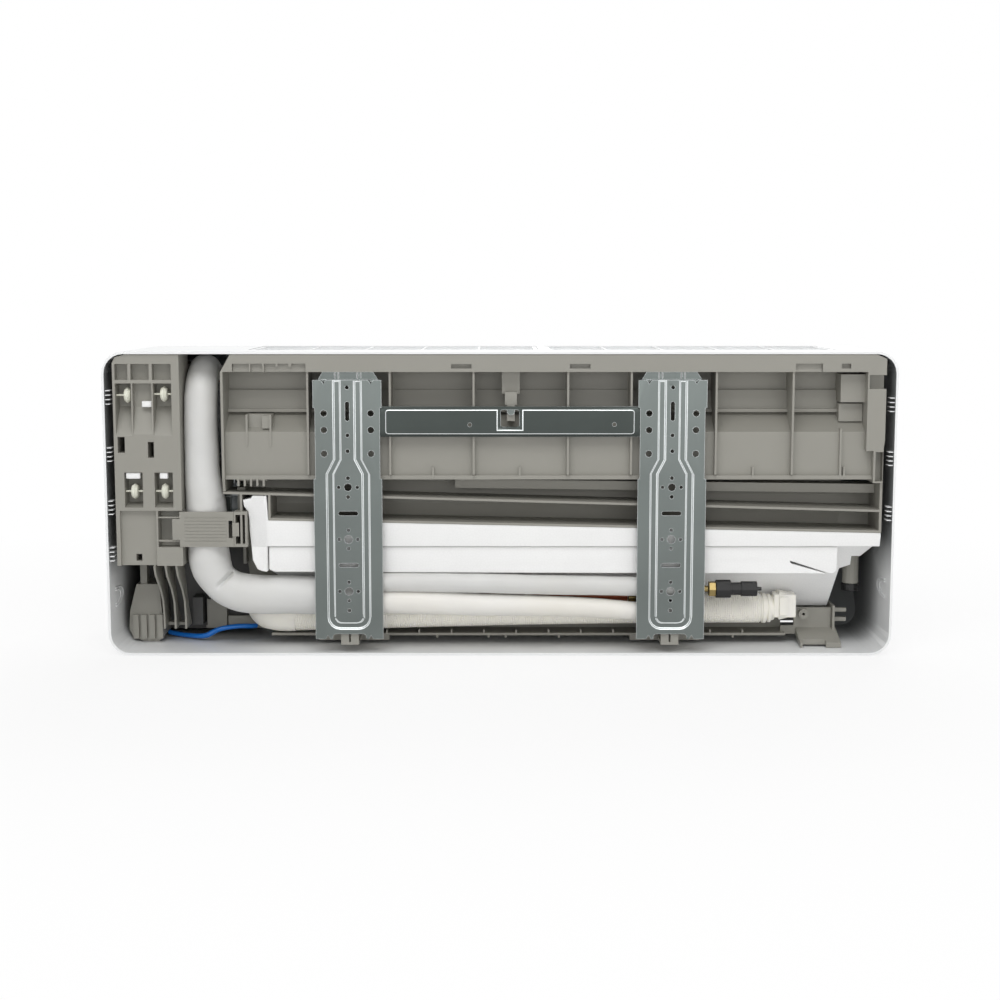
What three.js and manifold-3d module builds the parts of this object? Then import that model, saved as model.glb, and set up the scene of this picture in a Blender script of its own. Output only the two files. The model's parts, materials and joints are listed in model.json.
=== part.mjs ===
// Wall-mounted mini split indoor unit with its two-bracket wall plate, modelled from the wall side.
// Millimetres, +Z up. The room wall is the plane y = 0, the unit's front faces -Y and +X is the
// right-hand side seen from the room. The origin lies on the wall face of the plate's crossbar.
import * as THREE from 'three'
import { mergeVertices } from 'three/addons/utils/BufferGeometryUtils.js'
import Module from 'manifold-3d'

const wasm = await Module()
wasm.setup()

// ---- Driving dimensions -------------------------------------------------------------------------
const gap = 0.3 // between pieces that seat on each other
const skin = 2.5 // moulded plastic wall
const sheet = 1.5 // bracket steel

const casingWidth = 800
const casingHeight = 310
const casingDepth = 203
const wallGap = 2 // casing rim to the room wall
const rimRadius = 22 // corners seen from behind
const noseRadius = 20 // corners seen from above
const browRadius = 14 // top front edge
const chinRise = 62.5 // height of the sloped outlet face
const chinRun = 49 // depth of the sloped outlet face
const panelThickness = 5.7
const unitTop = 81.5 // casing top above the origin

const sideClearance = 8 // casing wall to the service block
const serviceWidth = 67
const pipeBay = 41.5 // between the service block and the chassis
const farClearance = 9.5 // casing wall to the chassis' far end

const bracketWidth = 67
const bracketRight = 153.5 // bracket centre lines
const bracketLeft = -173.5
const crossbarHeight = 30.5

const fanRadius = 44
const fanGap = 8
const fanDepth = 108 // fan axis in front of the room wall
const fanDrop = 153.5 // fan axis below the casing top
const bladeCount = 12
const coilThickness = 22

const vaneCount = 8
const vaneThickness = 1.6
const louverThickness = 2.5
const louverChord = 60

const bundleRadius = 20
const sleeveRadius = 10
const pipeRadius = 4.8
const hoseRadius = 14.6
const hoseWall = 1.6
const ribCount = 48
const ribHeight = 1.1

// ---- Planes worked out from them, in the unit's own frame (z = 0 is the casing top) ---------------
const halfWidth = casingWidth / 2
const innerHalf = halfWidth - skin
const rim = -wallGap
const front = rim - casingDepth + panelThickness + gap // casing's own front face
const innerFront = front + skin
const innerTop = -skin
const innerBottom = -casingHeight + skin

const serviceRight = innerHalf - sideClearance
const serviceLeft = serviceRight - serviceWidth
const chassisRight = serviceLeft - pipeBay
const chassisLeft = -innerHalf + farClearance
const backPlane = rim - 1 // rearmost faces of the chassis
const bearingRight = chassisRight - 16 // inner faces of the two bearing walls
const bearingLeft = chassisLeft + 35

const fanY = -fanDepth
const fanZ = -fanDrop
const throat = fanY + fanRadius + fanGap // scroll wall behind the fan
const railDrop = -20.4 // underside of the chassis' top rail

// ---- Geometry helpers ---------------------------------------------------------------------------
function solid(geometry) {
  const bare = geometry.clone()
  bare.deleteAttribute('normal')
  bare.deleteAttribute('uv')
  const merged = mergeVertices(bare, 1e-4)
  const faces = []
  const index = merged.index.array
  for (let i = 0; i < index.length; i += 3) {
    const [a, b, c] = [index[i], index[i + 1], index[i + 2]]
    if (a !== b && b !== c && c !== a) faces.push(a, b, c)
  }
  const vertProperties = new Float32Array(merged.attributes.position.array)
  return new wasm.Manifold(new wasm.Mesh({ numProp: 3, vertProperties, triVerts: new Uint32Array(faces) }))
}

const union = (pieces) => wasm.Manifold.union(pieces)
const cut = (body, tools) => body.subtract(union(tools))

function box(x0, x1, y0, y1, z0, z1) {
  const geometry = new THREE.BoxGeometry(x1 - x0, y1 - y0, z1 - z0)
  return solid(geometry.translate((x0 + x1) / 2, (y0 + y1) / 2, (z0 + z1) / 2))
}

function extrude(outline, length, holes = []) {
  const shape = new THREE.Shape(outline.map(([u, v]) => new THREE.Vector2(u, v)))
  shape.holes = holes.map((hole) => new THREE.Path(hole.map(([u, v]) => new THREE.Vector2(u, v))))
  return new THREE.ExtrudeGeometry(shape, { depth: length, bevelEnabled: false, steps: 1 })
}

// An outline of (y, z) points drawn out along X.
function barX(outline, x0, x1) {
  const turn = new THREE.Matrix4().set(0, 0, 1, x0, 1, 0, 0, 0, 0, 1, 0, 0, 0, 0, 0, 1)
  return solid(extrude(outline, x1 - x0).applyMatrix4(turn))
}

// An outline of (x, z) points drawn out along Y.
function plateY(outline, y0, y1, holes = []) {
  const turn = new THREE.Matrix4().set(1, 0, 0, 0, 0, 0, -1, y1, 0, 1, 0, 0, 0, 0, 0, 1)
  return solid(extrude(outline, y1 - y0, holes).applyMatrix4(turn))
}

// An outline of (x, y) points drawn out along Z.
function plateZ(outline, z0, z1) {
  return solid(extrude(outline, z1 - z0).translate(0, 0, z0))
}

function circle(u, v, radius, sides = 16) {
  const turn = (2 * Math.PI) / sides
  return Array.from({ length: sides }, (_, i) => [
    u + radius * Math.cos(i * turn),
    v + radius * Math.sin(i * turn),
  ])
}

function roundedBox(u0, u1, v0, v1, radius, steps = 5) {
  const corners = [
    [u1 - radius, v1 - radius, 0],
    [u0 + radius, v1 - radius, 1],
    [u0 + radius, v0 + radius, 2],
    [u1 - radius, v0 + radius, 3],
  ]
  return corners.flatMap(([u, v, quarter]) =>
    Array.from({ length: steps + 1 }, (_, i) => {
      const angle = ((quarter + i / steps) * Math.PI) / 2
      return [u + radius * Math.cos(angle), v + radius * Math.sin(angle)]
    }),
  )
}

// A closed outline that follows a line of points and lies to its left by the given thickness.
function band(points, thickness) {
  const offset = points.map(([u, v], i) => {
    const before = points[Math.max(i - 1, 0)]
    const after = points[Math.min(i + 1, points.length - 1)]
    const along = (a, b) => {
      const length = Math.hypot(b[0] - a[0], b[1] - a[1])
      return [(b[0] - a[0]) / length, (b[1] - a[1]) / length]
    }
    const arrive = i === 0 ? along([u, v], after) : along(before, [u, v])
    const leave = i === points.length - 1 ? along(before, [u, v]) : along([u, v], after)
    const normal = [-(arrive[1] + leave[1]), arrive[0] + leave[0]]
    const scale = thickness / (1 + arrive[0] * leave[0] + arrive[1] * leave[1])
    return [u + normal[0] * scale, v + normal[1] * scale]
  })
  return points.concat(offset.reverse())
}

function rodX(y, z, radius, x0, x1, sides = 16) {
  return barX(circle(y, z, radius, sides), x0, x1)
}

function rodY(x, z, radius, y0, y1, sides = 16) {
  return plateY(circle(x, z, radius, sides), y0, y1)
}

function rodZ(x, y, radius, z0, z1, sides = 16) {
  return plateZ(circle(x, y, radius, sides), z0, z1)
}

// A round bar along a smooth line of (x, y, z) points.
function tube(points, radius, sides, steps) {
  const curve = new THREE.CatmullRomCurve3(points.map((p) => new THREE.Vector3(...p)), false, 'centripetal')
  const shape = new THREE.Shape(circle(0, 0, radius, sides).map(([u, v]) => new THREE.Vector2(u, v)))
  return solid(new THREE.ExtrudeGeometry(shape, { steps, bevelEnabled: false, extrudePath: curve }))
}

// Tilts a solid so that it climbs along X by the given slope, level at x = 0.
function climb(body, slope) {
  return body.transform([1, 0, slope, 0, 0, 1, 0, 0, 0, 0, 1, 0, 0, 0, 0, 1])
}

const finish = {
  casing: { color: 0xebecec, roughness: 0.45, metalness: 0 },
  chassis: { color: 0x96948c, roughness: 0.6, metalness: 0 },
  steel: { color: 0x767e7d, roughness: 0.4, metalness: 0.9 },
  foam: { color: 0xe2e2e0, roughness: 0.9, metalness: 0 },
  sleeve: { color: 0xcfcecb, roughness: 0.85, metalness: 0 },
  hose: { color: 0xe4e0d0, roughness: 0.6, metalness: 0 },
  lead: { color: 0x145aaa, roughness: 0.5, metalness: 0 },
  black: { color: 0x191919, roughness: 0.5, metalness: 0 },
  brass: { color: 0x96823f, roughness: 0.35, metalness: 1 },
  copper: { color: 0xaa5f46, roughness: 0.4, metalness: 1 },
  aluminium: { color: 0xb9bdc0, roughness: 0.4, metalness: 0.9 },
  pale: { color: 0xd8dccb, roughness: 0.7, metalness: 0 },
  board: { color: 0x2e6b3f, roughness: 0.6, metalness: 0 },
  dark: { color: 0x3a3a3c, roughness: 0.5, metalness: 0 },
}

const model = new THREE.Group()
const unit = new THREE.Group()
unit.position.z = unitTop
model.add(unit)

function add(group, name, body, look) {
  const { vertProperties, triVerts } = body.simplify(0.01).getMesh()
  const geometry = new THREE.BufferGeometry()
  geometry.setAttribute('position', new THREE.BufferAttribute(new Float32Array(vertProperties), 3))
  geometry.setIndex(new THREE.BufferAttribute(new Uint32Array(triVerts), 1))
  geometry.computeVertexNormals()
  const mesh = new THREE.Mesh(geometry, new THREE.MeshStandardMaterial({ ...look, flatShading: true }))
  mesh.name = name
  group.add(mesh)
  return mesh
}

// ---- Wall plate: two pressed brackets and the crossbar --------------------------------------------
const hookTop = unitTop + railDrop - gap // the rail hangs on it
const bracketTop = hookTop - 7.6
const bracketBottom = -211
const shoulder = 25.2 // below it the bracket is narrower
const waistTop = -27
const waistBottom = -41.5
const ribWidth = 9
const ribDepth = 2.4

// The pressed rail of a bracket: a hairpin that widens at the waist and closes at the foot.
function hairpin(upper, lower, foot, radius) {
  const left = [[-upper, bracketTop + 1], [-upper, waistTop], [-lower, waistBottom]]
  const turn = Array.from({ length: 5 }, (_, i) => {
    const angle = Math.PI + (i / 4) * (Math.PI / 2)
    return [-lower + radius + radius * Math.cos(angle), foot + radius + radius * Math.sin(angle)]
  })
  const half = left.concat(turn)
  return half.concat(half.map(([u, v]) => [-u, v]).reverse())
}

function bracketHoles() {
  const round = (u, z, radius) => rodY(u, z, radius, -sheet - 1, 1, radius > 2.1 ? 8 : 6)
  const slot = (u0, u1, z0, z1) => {
    const radius = Math.min(u1 - u0, z1 - z0) / 2
    return plateY(roundedBox(u0, u1, z0, z1, radius - 0.01, 3), -sheet - 1, 1)
  }
  const centre = [45.7, -2.4, -18.4, -45.7, -64.8, -181.4].map((z) => round(0, z, 2.1))
  const cross = [-9.4, 9.4].map((u) => round(u, -55, 1.8))
  const sides = [19.7, 2.9, -21].flatMap((z) => [-23.6, 23.6].map((u) => round(u, z, 3.4)))
  const groups = [-108.2, -161.6].map((z) => round(0, z, 4.4))
  const slots = [slot(-2.1, 2.1, 12.1, 31.6), slot(-10, 10, -83.7, -79.5), slot(-10, 10, -136.7, -132.7)]
  return [...centre, ...cross, round(0, -55, 4), ...sides, ...groups, ...slots]
}

function makeBracket() {
  const half = bracketWidth / 2
  const notch = (u, z, up) => [[u - 3, z - up], [u, z + 4 * up], [u + 3, z - up]]
  const ears = box(-half - 1, half + 1, -sheet, 0, shoulder, bracketTop)
  const lower = box(-half - 1, half + 1, -sheet, 0, bracketBottom, waistBottom - 5)
  const plate = union([box(-half + 0.8, half - 0.8, -sheet, 0, bracketBottom, bracketTop), ears, lower])
  const outer = hairpin(6 + ribWidth, 13.5 + ribWidth, -201.6, 13)
  const inner = hairpin(6, 13.5, -193.3, 6)
  const rail = plateY(outer, -sheet - ribDepth, -sheet + 0.01).subtract(plateY(inner, -20, 20))
  const groove = plateY(hairpin(4.8 + ribWidth, 12.3 + ribWidth, -200.4, 12), -ribDepth - 0.01, 1)
    .subtract(plateY(hairpin(7.2, 14.7, -194.5, 7), -20, 20))
  const shelf = box(-half + 4, half - 4, -12 - sheet, -0.2, bracketTop - 2, bracketTop)
  const lip = plateY(
    [[-half + 2, bracketTop - 2], [half - 2, bracketTop - 2], [half - 8, hookTop], [-half + 8, hookTop]],
    -12 - sheet,
    -12,
  )
  const window = plateY(roundedBox(-17, 17, bracketBottom - 5, -205.8, 3, 3), -5, 1)
  const feet = [-22, 22].map((u) => plateY(notch(u, bracketBottom, 1).reverse(), -5, 1))
  const crown = [-23.6, 23.6].map((u) => plateY(notch(u, bracketTop, -1), -1.6, 1))
  const body = union([plate, rail.trimByPlane([0, 0, -1], -bracketTop), shelf, lip])
  return cut(body, [
    groove.trimByPlane([0, 0, -1], -bracketTop + 1),
    window,
    ...feet,
    ...crown,
    ...bracketHoles(),
  ])
}

const bracket = makeBracket()
add(model, 'bracket_right', bracket, finish.steel).position.x = bracketRight
add(model, 'bracket_left', bracket, finish.steel).position.x = bracketLeft

function makeCrossbar() {
  const low = -4
  const high = low + crossbarHeight
  const left = bracketLeft + bracketWidth / 2 - 14
  const right = bracketRight - bracketWidth / 2 + 14
  const back = -sheet - gap
  const base = box(left, right, back - sheet, back, low, high)
  const panel = [left + 18.5, right - 18.5]
  const face = plateY(roundedBox(panel[0], panel[1], low + 2.6, high - 3, 3, 3), back - sheet, 0)
  const hollow = plateY(
    roundedBox(panel[0] + 1.5, panel[1] - 1.5, low + 4.1, high - 4.5, 2, 3),
    back - sheet - 1,
    -sheet,
  )
  const dip = box(-22.4, 2.3, back, 1, 3.2, high + 1)
  const tray = box(-24, 3.8, back - sheet, back, low + 4, high)
  const window = plateY(roundedBox(-19.4, -0.7, 6, 23.1, 2, 3), -10, 1)
  const screwHoles = [rodY(30.4, 8.2, 2, -10, 1, 10), rodY(-115, 8.6, 2, -10, 1, 10)]
  return cut(union([cut(union([base, face]), [hollow, dip]), tray]), [window, ...screwHoles])
}
add(model, 'crossbar', makeCrossbar(), finish.steel)

// ---- Casing ---------------------------------------------------------------------------------------
// Sloped outlet face: a point at a distance along it from its upper edge, and inwards from it.
const chinLength = Math.hypot(chinRun, chinRise)
function onChin(along, inward = 0) {
  const [u, v] = [chinRun / chinLength, -chinRise / chinLength]
  return [front + along * u - inward * v, -casingHeight + chinRise + along * v + inward * u]
}
const lipUpper = 4
const lipLower = lipUpper + louverChord + 12
const louverAxisAlong = lipUpper + louverChord - 8
const louverAxisInward = 10
const louverAxis = onChin(louverAxisAlong, louverAxisInward)

function sideProfile(inset) {
  const radius = browRadius - inset
  const brow = Array.from({ length: 6 }, (_, i) => {
    const angle = Math.PI / 2 + (i / 5) * (Math.PI / 2)
    return [front + browRadius + radius * Math.cos(angle), -browRadius + radius * Math.sin(angle)]
  })
  const bottom = -casingHeight + inset
  const chinTop = [front + inset, onChin(0, inset)[1] - (inset * chinRun) / chinLength / 2]
  const chinFoot = [onChin(chinLength, inset)[0] + inset / 2, bottom]
  return [[rim + 5, -inset], ...brow, chinTop, chinFoot, [rim + 5, bottom]]
}

const filterBack = -58
const filterFront = -180
const filterThickness = 2.2
const filterSpans = [
  [bearingLeft + 4, (bearingLeft + bearingRight) / 2 - 4],
  [(bearingLeft + bearingRight) / 2 + 4, bearingRight - 4],
]
const hingeY = front + 2.5
const hingeZ = -6
const hingeRadius = 2.8
const lugRadius = 2.4
const hingeSpots = [-halfWidth + 100, halfWidth - 100]

function casingShell(inset, back) {
  const half = halfWidth - inset
  const ring = plateY(roundedBox(-half, half, -casingHeight + inset, -inset, rimRadius - inset, 6), front, back)
  const profile = barX(sideProfile(inset), -half, half)
  const nose = plateZ(
    roundedBox(-half, half, front + inset, 60, noseRadius - inset, 5),
    -casingHeight - 1,
    1,
  )
  return ring.intersect(profile).intersect(nose)
}

function makeCasing() {
  const shell = casingShell(0, rim).subtract(casingShell(skin, rim + 4))
  const ledges = filterSpans.map(([x0, x1]) =>
    box(x0 - 3, x1 + 3, filterFront - 3, filterBack + 3, innerTop - gap - 2.2, innerTop + 0.5),
  )
  const wells = filterSpans.flatMap(([x0, x1]) => [
    box(x0, x1, filterFront, filterBack, innerTop - gap, 1),
    box(x0 + 4, x1 - 4, filterFront + 4, filterBack - 4, -10, 1),
  ])
  const bars = filterSpans.flatMap(([x0, x1]) =>
    [1, 2].map((i) => {
      const x = x0 + (i * (x1 - x0)) / 3
      return box(x - 2, x + 2, filterFront, filterBack, innerTop - gap - 2.2, innerTop - gap)
    }),
  )
  const opening = box(-halfWidth + 20, halfWidth - 20, front - 1, innerFront + 3, -222, -22)
  const mouth = barX(
    [onChin(lipUpper, -10), onChin(lipLower, -10), onChin(lipLower, 8), onChin(lipUpper, 8)],
    bearingLeft,
    bearingRight,
  )
  const slots = hingeSpots.map((x) => box(x - 6.4, x + 6.4, front - 1, front + 9, -11, 1))
  const lugs = hingeSpots.flatMap((x) =>
    [-1, 1].map((side) => {
      const [a, b] = [x + side * 6.4, x + side * 10].sort((p, q) => p - q)
      return union([
        rodX(hingeY, hingeZ, lugRadius, a, b, 12),
        box(a, b, hingeY, front + 9, -12, hingeZ + lugRadius),
        box(a, b, front, hingeY, -12, hingeZ),
      ])
    }),
  )
  const pinHoles = hingeSpots.map((x) => rodX(hingeY, hingeZ, 1.5 + gap, x - 8.5, x + 8.5, 10))
  const body = cut(union([shell, ...ledges]), [...wells, opening, mouth, ...slots])
  return cut(union([body, ...bars, ...lugs]), pinHoles)
}
add(unit, 'casing', makeCasing(), finish.casing)

// ---- Front panel, hung on its two top pivots ------------------------------------------------------
const panelBack = front - gap
const panelFront = panelBack - panelThickness
const panelFoot = -casingHeight + chinRise + 8
const displayX = halfWidth - 75
const displayZ = panelFoot + 24

function makePanel() {
  const half = halfWidth - 2
  const slab = plateY(roundedBox(-half, half, panelFoot, -4, rimRadius - 4, 5), panelFront, panelBack)
  const hollow = plateY(
    roundedBox(-half + 3, half - 3, panelFoot + 3, -14, rimRadius - 8, 4),
    panelFront + 2.7,
    panelBack + 1,
  )
  const nose = plateZ(roundedBox(-half, half, panelFront, 60, noseRadius - 4, 5), -400, 10)
  const display = box(displayX - 25, displayX + 25, panelFront - 1, panelFront + 4, displayZ - 6, displayZ + 6)
  const arms = hingeSpots.map((x) =>
    union([
      rodX(hingeY, hingeZ, hingeRadius, x - 6, x + 6, 12),
      box(x - 6, x + 6, panelBack - 1, hingeY, hingeZ - hingeRadius, hingeZ + 1),
      rodX(hingeY, hingeZ, 1.5, x - 8, x + 8, 10),
    ]),
  )
  return cut(union([slab.intersect(nose), ...arms]), [hollow, display])
}
add(unit, 'front_panel', makePanel(), finish.casing)

const displayInset = gap + 0.1
const displayWindow = union([
  box(
    displayX - 25 + displayInset,
    displayX + 25 - displayInset,
    panelFront + 0.4,
    panelFront + 3.2,
    displayZ - 6 + displayInset,
    displayZ + 6 - displayInset,
  ),
  box(displayX - 28, displayX + 28, panelFront + 2.7 + gap, panelFront + 4.2, displayZ - 9, displayZ + 9),
])
add(unit, 'display_window', displayWindow, finish.dark)

// ---- Outlet frame: y runs inwards from the sloped face, z up along it ------------------------------
const chin = new THREE.Group()
chin.position.set(0, front, -casingHeight + chinRise)
chin.rotation.x = Math.atan2(chinRun, chinRise)
unit.add(chin)

const vanePivot = 36
const vanePinRadius = 2
const vanePitch = (bearingRight - bearingLeft) / vaneCount
const vaneSpots = Array.from({ length: vaneCount }, (_, i) => bearingLeft + (i + 0.5) * vanePitch)

function inUnit(body) {
  chin.updateMatrix()
  return body.transform(chin.matrix.elements)
}

function vaneHoles() {
  return vaneSpots.map((x) => inUnit(rodZ(x, vanePivot, vanePinRadius + 0.2 + gap, -90, -60, 8)))
}

// ---- Chassis --------------------------------------------------------------------------------------
const ledgeFoot = -129.5
const scrollEnd = onChin(lipLower - 2, skin + 1.8)
const scrollStart = [throat, ledgeFoot - 30]

function scrollLine() {
  const curve = new THREE.QuadraticBezierCurve(
    new THREE.Vector2(...scrollStart),
    new THREE.Vector2(throat - 4, fanZ - 82),
    new THREE.Vector2(...scrollEnd),
  )
  return curve.getPoints(7).map((p) => [p.x, p.y])
}

// Rear wall seen from the side: top plate, rail, coil recess, drip trough and ledge, then the scroll.
function backWall() {
  const upper = [
    [-50, innerTop - gap],
    [backPlane, innerTop - gap],
    [backPlane, railDrop],
    [-44, railDrop],
    [-44, -40.5],
    [-40, -40.5],
    [-38, -59.5],
    [-40, -63.5],
    [-13, -81.5],
    [-13, ledgeFoot],
    [throat, ledgeFoot],
  ]
  const scroll = [[throat, ledgeFoot + 1], ...scrollLine()]
  return [
    barX(band(upper, -skin), chassisLeft, chassisRight),
    barX(band(scroll, -skin), bearingLeft - skin, bearingRight + skin),
    box(chassisLeft, chassisRight, -42, -33, -62.5, -59.5),
    box(chassisLeft, chassisRight, -14, -9.5, ledgeFoot, ledgeFoot + 4),
  ]
}

const shelfSlope = 0.0278
const upperShelf = -149.8 // at x = 0, rear edge
const foamSlope = 0.0208
const lowerShelf = -176

function chassisShelves() {
  const plate = (x0, x1, top, slope, edge) =>
    climb(box(x0, x1, throat - 1, edge, top - 2.2, top), slope)
  const upper = plate(chassisLeft, chassisRight, upperShelf, shelfSlope, -8)
  const lower = plate(chassisLeft, 235.5, lowerShelf + 2.2, foamSlope, -8)
  const wedge = climb(box(chassisLeft + 3, 46, throat - 1, -30, -141, -132), 0.012)
  const boxEnd = box(233.3, 235.5, throat - 1, -8, -170, upperShelf + 5)
  const catchWall = box(262, 264.2, throat + 8, -8, -192, -144)
  return [upper, lower, wedge, boxEnd, catchWall]
}

// Upright ribs between the top rail and the ledge, and the small gussets at the groove.
function chassisRibs() {
  const rib = [[-46, railDrop + 1], [-5, railDrop + 1], [-5, -124], [-12, ledgeFoot + 2], [-15, ledgeFoot + 2],
    [-15, -82], [-42, -64], [-46, -60]]
  const tall = [193.8, 110.9, 26.6, -68.6, -132.5, -217.9, -295.2].map((x) => barX(rib, x - 1, x + 1))
  const low = [68, -20, -256.5, -349].map((x) => box(x - 1, x + 1, -16, -9, -128, -117))
  return [...tall, ...low]
}

function bearingWalls() {
  const wall = [
    [-45, -30],
    [-92, -12],
    [-104, -12],
    [innerFront + 6, -80],
    [innerFront + 5, -casingHeight + chinRise + 2],
    onChin(2, skin + 2),
    onChin(lipLower - 8, skin + 2),
    scrollEnd,
    ...scrollLine().reverse().slice(1),
    [throat, ledgeFoot + 1],
    [-14, ledgeFoot + 1],
    [-14, -81.5],
    [-41, -63.5],
  ]
  return [
    barX(wall, bearingRight, bearingRight + skin),
    barX(wall, bearingLeft - skin, bearingLeft),
  ]
}

function endPlates() {
  const right = [
    [backPlane, innerTop - gap],
    [-60, innerTop - gap],
    [-60, ledgeFoot - 12],
    [throat, ledgeFoot - 12],
    [-8, ledgeFoot - 12],
    [backPlane - 1, ledgeFoot + 2],
    [backPlane, -30],
  ]
  const left = [
    [backPlane, innerTop - gap],
    [-60, innerTop - gap],
    [-60, lowerShelf + foamSlope * chassisLeft],
    [-8, lowerShelf + foamSlope * chassisLeft],
    [-8, -100],
    [backPlane, -90],
  ]
  return [
    barX(right, chassisRight - skin, chassisRight),
    barX(left, chassisLeft, chassisLeft + skin),
  ]
}

// Latch pocket and comb at the pipe end, and the stepped latch seats at the far end.
function chassisDetails() {
  const latch = [
    box(233, 256, -39.6, -20, -96, -64),
    box(231.5, 233.5, -39.6, -12, -96, -64),
    box(255.5, 257.5, -39.6, -12, -96, -64),
    box(233, 241, -39.6, -14, -78, -65),
  ]
  const comb = [0, 1, 2, 3, 4].map((i) => box(239 + i * 6.4, 241 + i * 6.4, -16, -9.5, -136.5, -126))
  const combBack = box(237, 268, -18, -12, -131, -126)
  const far = [
    box(chassisLeft + 1, -369.5, -60, backPlane, -100, innerTop - gap),
    box(chassisLeft + 1, -377, -60, backPlane, -132.5, -99),
    box(-369.6, -345, -44, -16, -51.5, -23.5),
    box(-369, -345, -44, -24, -71.5, -53.5),
    box(-345.8, -343.8, -16, -9, -129, -78),
  ]
  const post = [
    box(-20, -2, -44, -18, -43, railDrop + 1),
    box(-17, -5, -44, -9, -53.9, -41),
    box(-15, -7, -44, -8, -70, -52),
  ]
  return [...latch, ...comb, combBack, ...far, ...post]
}

const strapTop = -162
const strapFoot = strapTop - 35.9
const strapBack = backPlane - 0.2

// The fixed half of the pipe clip: a frame with two slots that takes the strap's hook.
function clipFrame() {
  const frame = box(256.5, 270, -34, strapBack, strapFoot, strapTop)
  const slots = [
    box(258.8, 261.4, -40, 1, strapFoot + 3, strapTop - 3),
    box(263.4, 268.4, -40, 1, strapFoot + 3, strapTop - 3),
  ]
  const arm = box(262, 270, throat, -30, strapFoot + 4, -140)
  return cut(union([frame, arm]), slots)
}

// Bottom rail with its teeth, the latch tongues behind the brackets, and the foot with its boss.
const railTop = -296.5
const railBack = -50

function bottomRail() {
  const rail = box(-300, 240, -147, railBack, railTop - 2.5, railTop)
  const dips = [bracketRight, bracketLeft].map((x) =>
    box(x - 37, x + 37, -120, railBack, railTop - 7.5, railTop - 1),
  )
  const teeth = Array.from({ length: 13 }, (_, i) => -255 + i * 34)
    .map((x) => box(x - 0.8, x + 0.8, -66, railBack - 0.5, railTop - 1, railTop + 3.4))
  const nibs = [66, 12, -6, -62, -245].map((x) =>
    box(x - 1, x + 1, railBack - 6, railBack - 0.5, railTop - 5, railTop - 2),
  )
  const web = box(-300, 225, -84, -82, railTop - 1, railTop + 22)
  const tongues = [bracketRight, bracketLeft].flatMap((x) => [
    box(x - 9, x + 9, railBack - 2, -3, railTop - 2.5, railTop),
    box(x - 9, x - 1, -5.5, -3, railTop - 2.5, railTop + 8.3),
    box(x + 1, x + 9, -5.5, -3, railTop - 2.5, railTop + 8.3),
  ])
  const tail = [
    box(238, 316, -101.4, -90, railTop - 2.5, railTop),
    box(293.5, 314.5, -101.4, -90, railTop - 1, -268),
    box(262, 292, -96, -90, railTop - 1, -286),
  ]
  return [rail, ...dips, ...teeth, ...nibs, web, ...tongues, ...tail]
}

const footX = -331

function farFoot() {
  const plate = box(footX - 18, footX + 21, -62, -58, -296, -271)
  const ramp = barX(
    [[-62, -296], [-58, -292], [-26, -302], [-26, -307], [-58, -299]],
    footX - 23,
    footX + 19,
  )
  const notch = plateZ([[-338.7, -20], [-338.7, -33], [-314, -33], [-314, -20]], -320, -290)
  const boss = rodY(-319, -276.5, 5.2, -62, -50, 12)
  const bore = rodY(-319, -276.5, 1.6, -70, -49, 8)
  const side = box(-352, -349.6, -92, -52, -296, -268)
  const nubs = [-274, -284].map((z) => box(-366, -350, -66, -62, z - 2, z + 2))
  return cut(union([plate, ramp, boss, side, ...nubs, box(-314, -296, -62, -58, -299, -290)]), [notch, bore])
}

const spoutX = -371
const spoutY = -70

function drainSpout() {
  const pipe = rodZ(spoutX, spoutY, 8.5, -246, -215, 14)
  const bore = rodZ(spoutX, spoutY, 6.5, -247, -219, 14)
  const neck = box(spoutX - 6, bearingLeft - 1, spoutY - 6, spoutY + 6, -219, -205)
  return cut(union([pipe, neck]), [bore])
}

function railCuts() {
  const notch = (x0, x1, z0, z1) => box(x0, x1, backPlane - 4, 1, z0, z1)
  const left = [49, 28.6, -70, -90.7]
  const teeth = [0, 1, 2, 3].map((i) => notch(208 + i * 15, 219 + i * 15, railDrop - 1, railDrop + 5.5))
  return [
    notch(left[1], left[0], -17, -12.5),
    notch(left[3], left[2], -17, -12.5),
    notch(-323.8, -296.6, railDrop - 1, -12),
    notch(-352, -342.7, -17, -12),
    ...teeth,
    box(-389, -371, backPlane - 12, 1, -37.5, -23.5),
    box(-387.5, -379, backPlane - 14, 1, -131, -101),
    plateY([[282, 1], [282, -22.5], [270.5, -2.5], [270.5, 1]], -70, 1),
    plateY([[-389, 1], [-378, 1], [-378, innerTop - gap], [-389, -8]], -70, 1),
  ]
}

const headerY = -97 // the coil's pipe passes the bearing wall here
const headerZ = -34
const screwX = -11
const screwZ = -60

function axleHoles() {
  return [
    rodX(headerY, headerZ, pipeRadius + 1.5, bearingRight - 1, bearingRight + skin + 1, 12),
    rodY(screwX, screwZ, 1.6 + gap, -15, 1, 8),
    rodX(fanY, fanZ, 11, bearingLeft - skin - 1, bearingLeft + 1, 16),
    rodX(fanY, fanZ, 9, bearingRight - 1, bearingRight + skin + 1, 16),
    rodX(louverAxis[0], louverAxis[1], 3.1 + gap, bearingLeft - skin - 1, bearingLeft + 1, 12),
    rodX(louverAxis[0], louverAxis[1], 3.1 + gap, bearingRight - 1, bearingRight + skin + 1, 12),
  ]
}

const motorRadius = 40
const motorSides = 18
const motorFoot = fanZ - motorRadius
const shroudBack = -102
const shroudFoot = -302

function motorBed() {
  const bed = box(bearingRight + 1, serviceLeft - 2, fanY - 34, fanY + 34, motorFoot - 6, motorFoot + 10)
  const cradle = rodX(fanY, fanZ, motorRadius + gap, bearingRight + skin + 0.01, serviceLeft, motorSides)
  const stay = box(bearingRight + 1, bearingRight + 4, fanY - 40, throat + 1, motorFoot - 30, motorFoot)
  return cut(union([bed, stay]), [cradle])
}

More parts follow.
